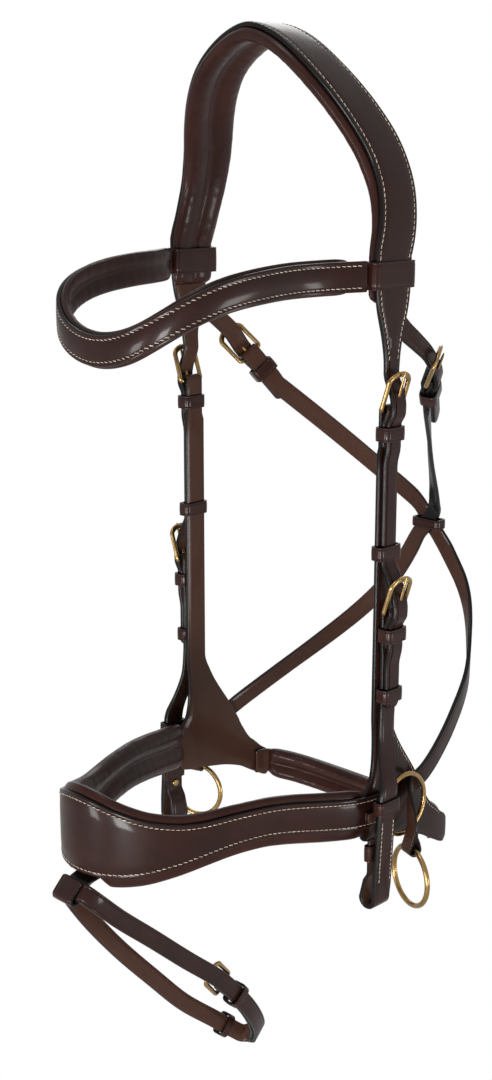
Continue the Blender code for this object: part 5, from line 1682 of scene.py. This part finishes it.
    def stud(self, inner: float, line: float) -> None:
        """Make the hook stud as a turned profile: a shank and a rounded head towards the horse.

        Args:
            inner: how far out the hooked ply lies.
            line: where the cheekpiece's end lies from front to back.
        """
        face = LAY.bit_end_in - STOCK.bit_end / 2 - STOCK.gap
        head = inner - STOCK.chape / 2 - STOCK.gap
        turn = np.linspace(0.0, math.pi / 2, 7)
        dome = [(head - self.stud_head * math.sin(t), self.stud_head_radius * (0.55 + 0.45 * math.cos(t)))
                for t in turn]
        profile = np.array([(face, self.stud_radius), (head, self.stud_radius)] + dome)
        spin = np.linspace(0.0, 2 * math.pi, 24, endpoint=False)
        x = np.repeat(self.side.value * profile[:, :1], 24, axis=1)
        y = line + profile[:, 1:] * np.cos(spin)
        z = -self.stud_drop + profile[:, 1:] * np.sin(spin)
        node = f"hook_stud_{self.side.label}"
        NODES.dress(grid_mesh(f"{node}_brass", np.stack([x, y, z], axis=-1)), FINISH.brass, Slot.BRASS, node)

    def rings(self) -> None:
        """Make the ring beside the noseband with the leather folded round it, and the rein ring."""
        sign, label = self.side.value, self.side.label
        ring(f"side_ring_{label}", (sign * LAY.ring_in, self.ring_back, -self.ring_drop), (sign, 0, 0),
             self.ring_radius, STOCK.side_ring_wire)
        sag = WIDE.ring_chape**2 / (8 * self.ring_radius)
        fold = STOCK.side_ring_wire + STOCK.gap + sag + STOCK.ring_chape / 2
        front = self.ring_back - self.ring_radius
        seat = Seat((LAY.ring_in, front, -self.ring_drop), (0, 1, 0), (1, 0, 0))
        lane = chape_lane(fold, STOCK.ring_chape, self.ring_chape_length, self.ring_chape_length)
        rows = flipped(seat.rows(lane, WIDE.ring_chape, STOCK.ring_chape, np.array([0.0, 0.0, 1.0])), self.side)
        dress_strap(f"ring_chape_{label}", rows, PLAIN, face=-float(sign))
        along = np.array(self.tab_across) * [sign, 1, 1]
        ring(f"rein_ring_{label}", (sign * LAY.tab_in, self.tab_back, -self.tab_drop - self.rein_ring_radius),
             np.cross(along, (0, 0, 1)), self.rein_ring_radius, STOCK.rein_ring_wire)


@dataclass(frozen=True)
class JawStrap:
    """A jaw strap from its top buckle on one side to the rein ring on the other, and its billet."""

    side: Side
    bar_in: float = 0.0800
    bar_back: float = 0.0470
    bar_drop: float = 0.2075
    crossing_back: float = 0.1530
    crossing_drop: float = 0.3340
    tip_below: float = 0.0400
    billet_top: float = 0.1640
    wrap_back: float = 0.0130
    entry_back: float = 0.0380
    entry_drop: float = 0.4720
    pass_drop: float = 0.5000
    tab_back: float = 0.0130
    tab_drop: float = 0.5135
    tab_fold_length: float = 0.0120
    outward: Triple = (0.734, 0.580, -0.348)
    up: Triple = (0.334, -0.551, 0.764)
    tab_across: Triple = (0.951, -0.309, 0.0)
    crossing_across: Triple = (-0.780, 0.0, 0.620)
    entry_across: Triple = (0.0, -0.35, 0.94)
    upper_shares: tuple[Triple, ...] = (
        (0.36, 0.36, 0.355), (0.56, 0.58, 0.54), (0.73, 0.78, 0.710), (0.84, 0.92, 0.835),
        (0.91, 0.985, 0.915))
    lower_shares: tuple[Triple, ...] = (
        (0.08, 0.003, 0.060), (0.17, 0.020, 0.150), (0.30, 0.030, 0.27), (0.43, -0.015, 0.405),
        (0.58, -0.145, 0.55), (0.74, -0.330, 0.69), (0.86, -0.560, 0.81), (0.95, -0.790, 0.915))
    pass_shares: tuple[tuple[float, float, float, float], ...] = (
        (0.00, 0.00, 0.00, 0.00), (0.00, 0.32, 0.11, 0.00), (0.10, 0.56, 0.21, 0.15),
        (0.43, 0.76, 0.43, 0.45), (0.80, 0.90, 0.71, 0.80), (1.00, 0.98, 0.97, 1.00))

    def seat(self, side: Side) -> Seat:
        """Return the seat of the buckle at the top of the strap."""
        sign, out, up = side.value, self.outward, self.up
        return Seat((sign * self.bar_in, self.bar_back, -self.bar_drop), (sign * up[0], up[1], up[2]),
                    (sign * out[0], out[1], out[2]))

    def upper(self, across: Array, lift: float) -> Array:
        """Lay the strap from the buckle to the crossing behind the cheeks.

        Args:
            across: the direction across the strap at its buckle.
            lift: how far back it lies at the crossing, to clear the other strap.

        Returns:
            The upper part's rows.
        """
        high = np.array(self.upper_shares)
        places = np.column_stack([self.bar_in * (1 - high[:, 0]),
                                  self.bar_back + (self.crossing_back - self.bar_back) * high[:, 1],
                                  -self.bar_drop - (self.crossing_drop - self.bar_drop) * high[:, 2]])
        places[-2:, 1] += lift
        turn = np.linspace(0.3, 1.0, len(high))[:, None]
        rows = rows_of(places, FORE, WIDE.cross, STOCK.leather)
        rows[:, 3:6] = unit(across * (1 - turn) + np.array(self.crossing_across) * turn)
        rows[-1:, 6] = WIDE.cross * 0.92
        return rows

    def lower(self, lift: float) -> Array:
        """Lay the strap from the crossing down to the edge of the side ring.

        Args:
            lift: how far back it lies at the crossing, to clear the other strap.

        Returns:
            The lower part's rows.
        """
        low = np.array(self.lower_shares)
        places = np.column_stack([-LAY.jaw_in * low[:, 0],
                                  self.crossing_back + (self.crossing_back - self.entry_back) * low[:, 1],
                                  -self.crossing_drop - (self.entry_drop - self.crossing_drop) * low[:, 2]])
        places[:2, 1] += lift
        turn = np.clip(np.linspace(0.0, 1.15, len(low)), 0.0, 1.0)[:, None]
        rows = rows_of(places, FORE, WIDE.cross, STOCK.leather)
        rows[:, 3:6] = unit(np.array(self.crossing_across) * (1 - turn) + np.array(self.entry_across) * turn)
        rows[:1, 6] = WIDE.cross * 0.92
        return rows

    def end(self) -> tuple[Array, Array]:
        """Return the rows through the side ring and those of the tab folded round the rein ring."""
        table = np.array(self.pass_shares)
        turn = table[:, 3:4]
        places = np.column_stack([-LAY.jaw_in - (LAY.tab_in - LAY.jaw_in) * table[:, 0],
                                  self.entry_back - (self.entry_back - self.tab_back) * table[:, 1],
                                  -self.entry_drop - (self.pass_drop - self.entry_drop) * table[:, 2]])
        across = np.array(self.tab_across) * [-1, 1, 1]
        through = rows_of(places, FORE, 0.0, 0.0)
        through[:, 6] = WIDE.cross + (WIDE.tab - WIDE.cross) * table[:, 3]
        through[:, 7] = STOCK.leather + (STOCK.tab - STOCK.leather) * table[:, 3]
        through[:, 3:6] = unit(np.array(self.entry_across) * (1 - turn) + across * turn)
        sag = WIDE.tab**2 / (8 * 0.0200)
        fold = STOCK.rein_ring_wire + 2 * STOCK.gap + sag + STOCK.tab / 2
        seat = Seat((-LAY.tab_in, self.tab_back, -self.tab_drop), (0, 0, 1),
                    (-self.tab_across[1], -self.tab_across[0], 0))
        half = (STOCK.tab + STOCK.gap) / 2
        bend = arc((0.0, 0.0), fold, 0, -180, 14)
        lane = [(half, fold * 2.2)] + [tuple(p) for p in bend]
        lane += [(-fold * 0.72, fold * 1.1), (-half, fold * 2.2), (-half, self.tab_fold_length)]
        return through, seat.rows(lane, WIDE.tab, STOCK.tab, across)

    def build(self) -> None:
        """Make the strap, its billet, its keeper and its buckle."""
        side, label = self.side, self.side.label
        seat = self.seat(Side.NEAR)
        across = -seat.axes()[0]
        fold = seat.rows(chape_lane(STOCK.fold, STOCK.chape, RETURN, RETURN), WIDE.chape, STOCK.chape, across)
        start = rows_of(seat.at(-STOCK.fold, -RETURN * 1.25), across, WIDE.cross, STOCK.leather)
        lift = (STOCK.leather + 2 * STOCK.gap) / 2 * (-1 if side is Side.NEAR else 1)
        middle = rows_of((0.0, self.crossing_back + lift, -self.crossing_drop), self.crossing_across,
                         WIDE.cross * 0.92, STOCK.leather)
        through, tab = self.end()
        run = smooth(smooth(joined(start, self.upper(across, lift), middle, self.lower(lift), through), 2), 3)
        rows = flipped(joined(fold, run, tab), side)
        node = f"cross_strap_{label}"
        # The near strap's flesh side is black above the crossing height and tan below it.
        finish = FINISH.black_back if side is Side.NEAR else FINISH.strap
        dress_strap(node, rows, LINED, face=float(side.value), finish=finish)
        lane = [(STOCK.seated * 0.8, -self.tip_below), (STOCK.seated * 0.8, -self.tip_below * 0.96),
                (STOCK.seated * 0.8, -self.tip_below * 0.91), (STOCK.seated * 0.9, -RETURN * 1.2),
                (STOCK.seated, -RETURN * 0.8)]
        lane += billet_lane(CROSS_BUCKLE.length, CROSS_BUCKLE.tilt)[::-1]
        rows = seat.rows(lane, WIDE.billet, STOCK.leather, across)
        rows[0, 6] = WIDE.billet * 0.5
        rows[1, 6] = WIDE.billet * 0.86
        under = LAY.half_width - STOCK.leather - STOCK.gap
        wrap = self.wrap_back
        top = rows_of([(under, wrap * 1.1, -self.billet_top - wrap * 0.9),
                       (under, wrap * 0.45, -self.billet_top - wrap * 0.35), (under, 0.0, -self.billet_top)],
                      (0, 0.7, 0.7), WIDE.billet, STOCK.leather)
        rows = flipped(smooth(smooth(joined(rows, top), 2), 3), side)
        dress_strap(f"rear_billet_{label}", rows, LINED, face=-float(side.value))
        here = self.seat(side)
        low, high = -STOCK.fold - STOCK.chape / 2, STOCK.seated + STOCK.leather / 2
        fitted(f"cross_keeper_{label}", here, -LAY.keeper_below, low, high)
        CROSS_BUCKLE.cast(here, f"_{label}")


@dataclass(frozen=True)
class Flash:
    """The flash strap with its loop on the noseband, its buckle, its keeper and its runner."""

    half_gap: float = 0.0170
    front_reach: float = 0.1900
    front_drop: float = 0.5065
    back_reach: float = 0.0240
    back_drop: float = 0.6800
    back: float = 0.0180
    across: Triple = (0.0, 0.700, 0.714)
    near_shares: tuple[Triple, ...] = (
        (0.00, 0.00, 0.00), (0.55, 0.00, 0.00), (0.93, 0.045, 0.045), (1.00, 0.14, 0.135),
        (1.00, 0.30, 0.270), (1.00, 0.48, 0.425), (1.00, 0.66, 0.575), (0.97, 0.743, 0.660),
        (0.894, 0.836, 0.767), (0.647, 0.916, 0.874), (0.265, 0.966, 0.953), (-0.176, 0.983, 0.998))
    far_shares: tuple[Triple, ...] = (
        (-0.55, 0.00, 0.00), (-0.90, 0.050, 0.060), (-0.95, 0.150, 0.200), (-1.00, 0.307, 0.390),
        (-1.05, 0.476, 0.571), (-1.05, 0.640, 0.741), (-0.982, 0.798, 0.872), (-0.871, 0.901, 0.957),
        (-0.588, 0.964, 1.001))
    fine: int = 3

    def build(self) -> None:
        """Make the strap round its loop, doubled under its buckle, and what is on it."""
        near, far = np.array(self.near_shares), np.array(self.far_shares)[::-1]
        table = joined(near, far)
        places = np.column_stack([
            table[:, 0] * self.half_gap,
            -self.front_reach + table[:, 1] * (self.front_reach - self.back_reach),
            -self.front_drop - table[:, 2] * (self.back_drop - self.front_drop)])
        coarse = smooth(rows_of(places, self.across, WIDE.flash, STOCK.leather), 3)
        _, _, coarse_out = frames(coarse[:, :3], coarse[:, 3:6])
        bar_at, tail_end = 3 * 6 + 2, 3 * (len(near) + 2)
        layer = STOCK.leather + 2 * STOCK.gap
        path = coarse[:, :3]
        bar = path[bar_at] - coarse_out[bar_at] * (layer + STOCK.fold)
        seat = Seat(tuple(bar), tuple(path[bar_at - 1] - path[bar_at + 1]), tuple(-coarse_out[bar_at]))
        fold = seat.rows(chape_lane(STOCK.fold, STOCK.chape, self.back * 0.5, self.back), WIDE.flash * 0.9,
                         STOCK.chape, np.array(self.across))
        count = len(path)
        share = np.clip((count - 8 - np.arange(count)) / (count - 8 - tail_end - 1), 0.0, 1.0)
        inner = coarse.copy()
        inner[:, :3] -= coarse_out * (layer * share)[:, None]
        inner[:bar_at + 9, 7] = STOCK.chape
        outer = coarse[1:tail_end].copy()
        outer[-1, 6] = WIDE.flash * 0.5
        run = smooth(joined(inner[bar_at + 3:], outer[:-1]), self.fine)
        tip = smooth(outer[-2:], 4)[1:]
        tip[:, 6] = WIDE.flash * np.array([0.98, 0.92, 0.80, 0.5])
        dress_strap("flash_strap", joined(fold, run, tip), LINED)
        tops = (bar_at - 6, bar_at - 4, tail_end - 8, tail_end - 6, tail_end - 4)
        lift = STOCK.leather / 2
        punched("flash_strap", [path[k] + coarse_out[k] * lift for k in tops], [coarse_out[k] for k in tops])
        punched("flash_strap", [path[k] - coarse_out[k] * lift for k in tops[2:]],
                [-coarse_out[k] for k in tops[2:]], "hole_backs")
        FLASH_BUCKLE.cast(seat, "")
        keeper_height = WIDE.keeper * 0.7
        fitted("flash_keeper", seat, -LAY.keeper_below, -STOCK.fold - layer - STOCK.leather / 2 - STOCK.ease,
               STOCK.stack + STOCK.chape / 2 + STOCK.ease, WIDE.flash, keeper_height)
        k = tail_end - 2
        here = Seat(tuple(path[k] - coarse_out[k] * layer / 2), tuple(path[k - 1] - path[k + 1]),
                    tuple(coarse_out[k]))
        keeper("flash_runner", here, WIDE.flash + 4 * STOCK.gap, layer + STOCK.leather + 4 * STOCK.gap,
               keeper_height)
        self.loop()

    def loop(self) -> None:
        """Make the loop of leather under the noseband that carries the strap."""
        middle = np.array([0.0, -self.front_reach, -self.front_drop])
        wide = np.array(self.across) / np.linalg.norm(self.across)
        face = np.cross(wide, (1, 0, 0))
        clear = STOCK.leather / 2 + 2 * STOCK.gap + STOCK.flash_loop / 2
        half = WIDE.flash / 2 + STOCK.gap
        rear = -NOSEBAND.reach + STOCK.leather / 2 + NOSEBAND.pad_depth + STOCK.flash_loop * 2.0
        drops = NOSEBAND.rise * np.array([0.6, -0.4, -1.35]) - NOSEBAND.drop
        ply = [(0.0, rear, z) for z in drops]
        face = face if face[2] < 0 else -face
        down = [middle + wide * half + face * clear, middle - wide * half + face * clear]
        bend = [middle - wide * (half + clear * math.sin(t)) + face * clear * math.cos(t)
                for t in np.radians(np.linspace(20, 160, 8))]
        back = [middle - wide * half - face * clear, middle + wide * half * 0.8 - face * clear]
        rows = rows_of(np.array([*ply, *down, *bend, *back]), (1, 0, 0), WIDE.flash_loop, STOCK.flash_loop)
        piece = strap("flash_loop_leather", smooth(rows, 4), LINED, True, False, -1.0)
        NODES.dress(piece, FINISH.loop, Slot.LOOP, "flash_loop")


@dataclass(frozen=True)
class Studio:
    """The pale floor, the backdrop, the lights and the camera."""

    target: Triple = (-0.0190, -0.0189, -0.3204)
    away: float = 1.052
    azimuth: float = 44.8
    elevation: float = 14.1
    lens: float = 52.5
    floor_drop: float = 0.90
    floor_size: float = 2.8
    dim: float = 0.14
    lamps: tuple[tuple[str, Triple, float, float], ...] = (
        ("key_lamp", (0.80, -1.20, -0.68), 0.38, 22.0), ("front_lamp", (-0.3, -2.2, -0.85), 0.5, 24.0),
        ("side_lamp", (2.2, 0.9, -0.85), 0.5, 20.0), ("rear_lamp", (-1.4, 1.7, 0.9), 0.9, 12.0),
        ("top_lamp", (0.1, -0.6, 1.9), 0.6, 14.0))

    def pale(self) -> bpy.types.Material:
        """Return the floor's material: pale to the object's light, white to the camera and in gloss."""
        g = Graph("pale_floor")
        rays = g.add("ShaderNodeLightPath")
        seen = g.sums("MAXIMUM", rays.outputs["Is Camera Ray"], rays.outputs["Is Glossy Ray"])
        seen = g.sums("MAXIMUM", seen, rays.outputs["Is Transmission Ray"])
        light = g.add("ShaderNodeEmission", {"Color": (1.0, 1.0, 1.0, 1.0), "Strength": 1.0})
        mix = g.add("ShaderNodeMixShader", {0: seen, 1: g.shader.outputs["BSDF"], 2: light.outputs[0]})
        g.set(Base_Color=(0.8, 0.8, 0.8, 1.0), Roughness=0.9)
        g.put(g.tree.nodes["Material Output"].inputs["Surface"], mix.outputs[0])
        return g.material

    def floor(self) -> None:
        """Lay the floor, as a grid of points."""
        edge = self.floor_size / 2
        spread = np.linspace(-edge, edge, 9)
        x, y = np.meshgrid(spread, spread, indexing="ij")
        points = np.stack([x, y, np.full_like(x, -self.floor_drop)], axis=-1).reshape(-1, 3)
        first = (np.arange(8)[:, None] * 9 + np.arange(8)[None, :]).ravel()
        quads = np.stack([first, first + 9, first + 10, first + 1], axis=1)
        mesh = bpy.data.meshes.new("floor")
        mesh.from_pydata(points.tolist(), [], quads.tolist())
        mesh.materials.append(self.pale())
        floor = bpy.data.objects.new("floor", mesh)
        bpy.context.scene.collection.objects.link(floor)

    def world(self) -> None:
        """Light the world evenly, and show it white to the camera and in gloss."""
        world = bpy.data.worlds.new("studio")
        bpy.context.scene.world = world
        world.use_nodes = True
        tree = world.node_tree
        rays = tree.nodes.new("ShaderNodeLightPath")
        seen = rays.outputs["Is Camera Ray"]
        for other in ("Is Glossy Ray", "Is Transmission Ray"):
            more = tree.nodes.new("ShaderNodeMath")
            more.operation = "MAXIMUM"
            tree.links.new(seen, more.inputs[0])
            tree.links.new(rays.outputs[other], more.inputs[1])
            seen = more.outputs[0]
        strength = tree.nodes.new("ShaderNodeMapRange")
        strength.inputs["To Min"].default_value = self.dim
        strength.inputs["To Max"].default_value = 1.0
        tree.links.new(seen, strength.inputs["Value"])
        back = tree.nodes["Background"]
        back.inputs["Color"].default_value = (1.0, 1.0, 1.0, 1.0)
        tree.links.new(strength.outputs["Result"], back.inputs["Strength"])

    def lamp(self, name: str, place: Triple, size: float, watts: float) -> None:
        """Hang a soft square lamp that faces the bridle.

        Args:
            name: the lamp's name.
            place: where it hangs.
            size: its side, in metres.
            watts: its power.
        """
        data = bpy.data.lights.new(name, "AREA")
        data.size = size
        data.energy = watts
        lamp = bpy.data.objects.new(name, data)
        lamp.location = place
        away = np.array(place) - np.array(self.target)
        lamp.rotation_euler = self.facing(away)
        bpy.context.scene.collection.objects.link(lamp)

    def facing(self, away: Array) -> tuple[float, float, float]:
        """Return the turn that points a lamp or camera back along a direction."""
        flat = math.hypot(away[0], away[1])
        return (math.atan2(flat, away[2]), 0.0, math.atan2(away[0], -away[1]))

    def camera(self) -> None:
        """Set the camera at the photograph's angle."""
        turn, rise = math.radians(self.azimuth), math.radians(self.elevation)
        back = np.array([math.sin(turn) * math.cos(rise), -math.cos(turn) * math.cos(rise), math.sin(rise)])
        data = bpy.data.cameras.new("camera")
        data.lens = self.lens
        data.dof.use_dof = False
        camera = bpy.data.objects.new("camera", data)
        camera.location = np.array(self.target) + back * self.away
        camera.rotation_euler = self.facing(back)
        bpy.context.scene.collection.objects.link(camera)
        bpy.context.scene.camera = camera

    def build(self) -> None:
        """Set the stage."""
        bpy.context.scene.view_settings.view_transform = "Standard"
        self.floor()
        self.world()
        for name, place, size, watts in self.lamps:
            self.lamp(name, place, size, watts)
        self.camera()


NOSEBAND = Noseband()


def main() -> None:
    """Build the bridle piece by piece and set the stage."""
    logging.basicConfig(level=logging.INFO, format="%(name)s: %(message)s")
    Studio().build()
    HEADPIECE.build()
    Browband().build()
    NOSEBAND.build()
    for side in Side:
        Cheek(side).build()
        JawStrap(side).build()
    jaw = JawStrap(Side.NEAR)
    seat = Seat((0.0, jaw.crossing_back, -jaw.crossing_drop), (0, 0, 1), (0, 1, 0))
    keeper("crossing_loop", seat, 0.0220, 2 * STOCK.leather + 7 * STOCK.gap, 0.0070)
    Flash().build()


if __name__ == "__main__":
    main()
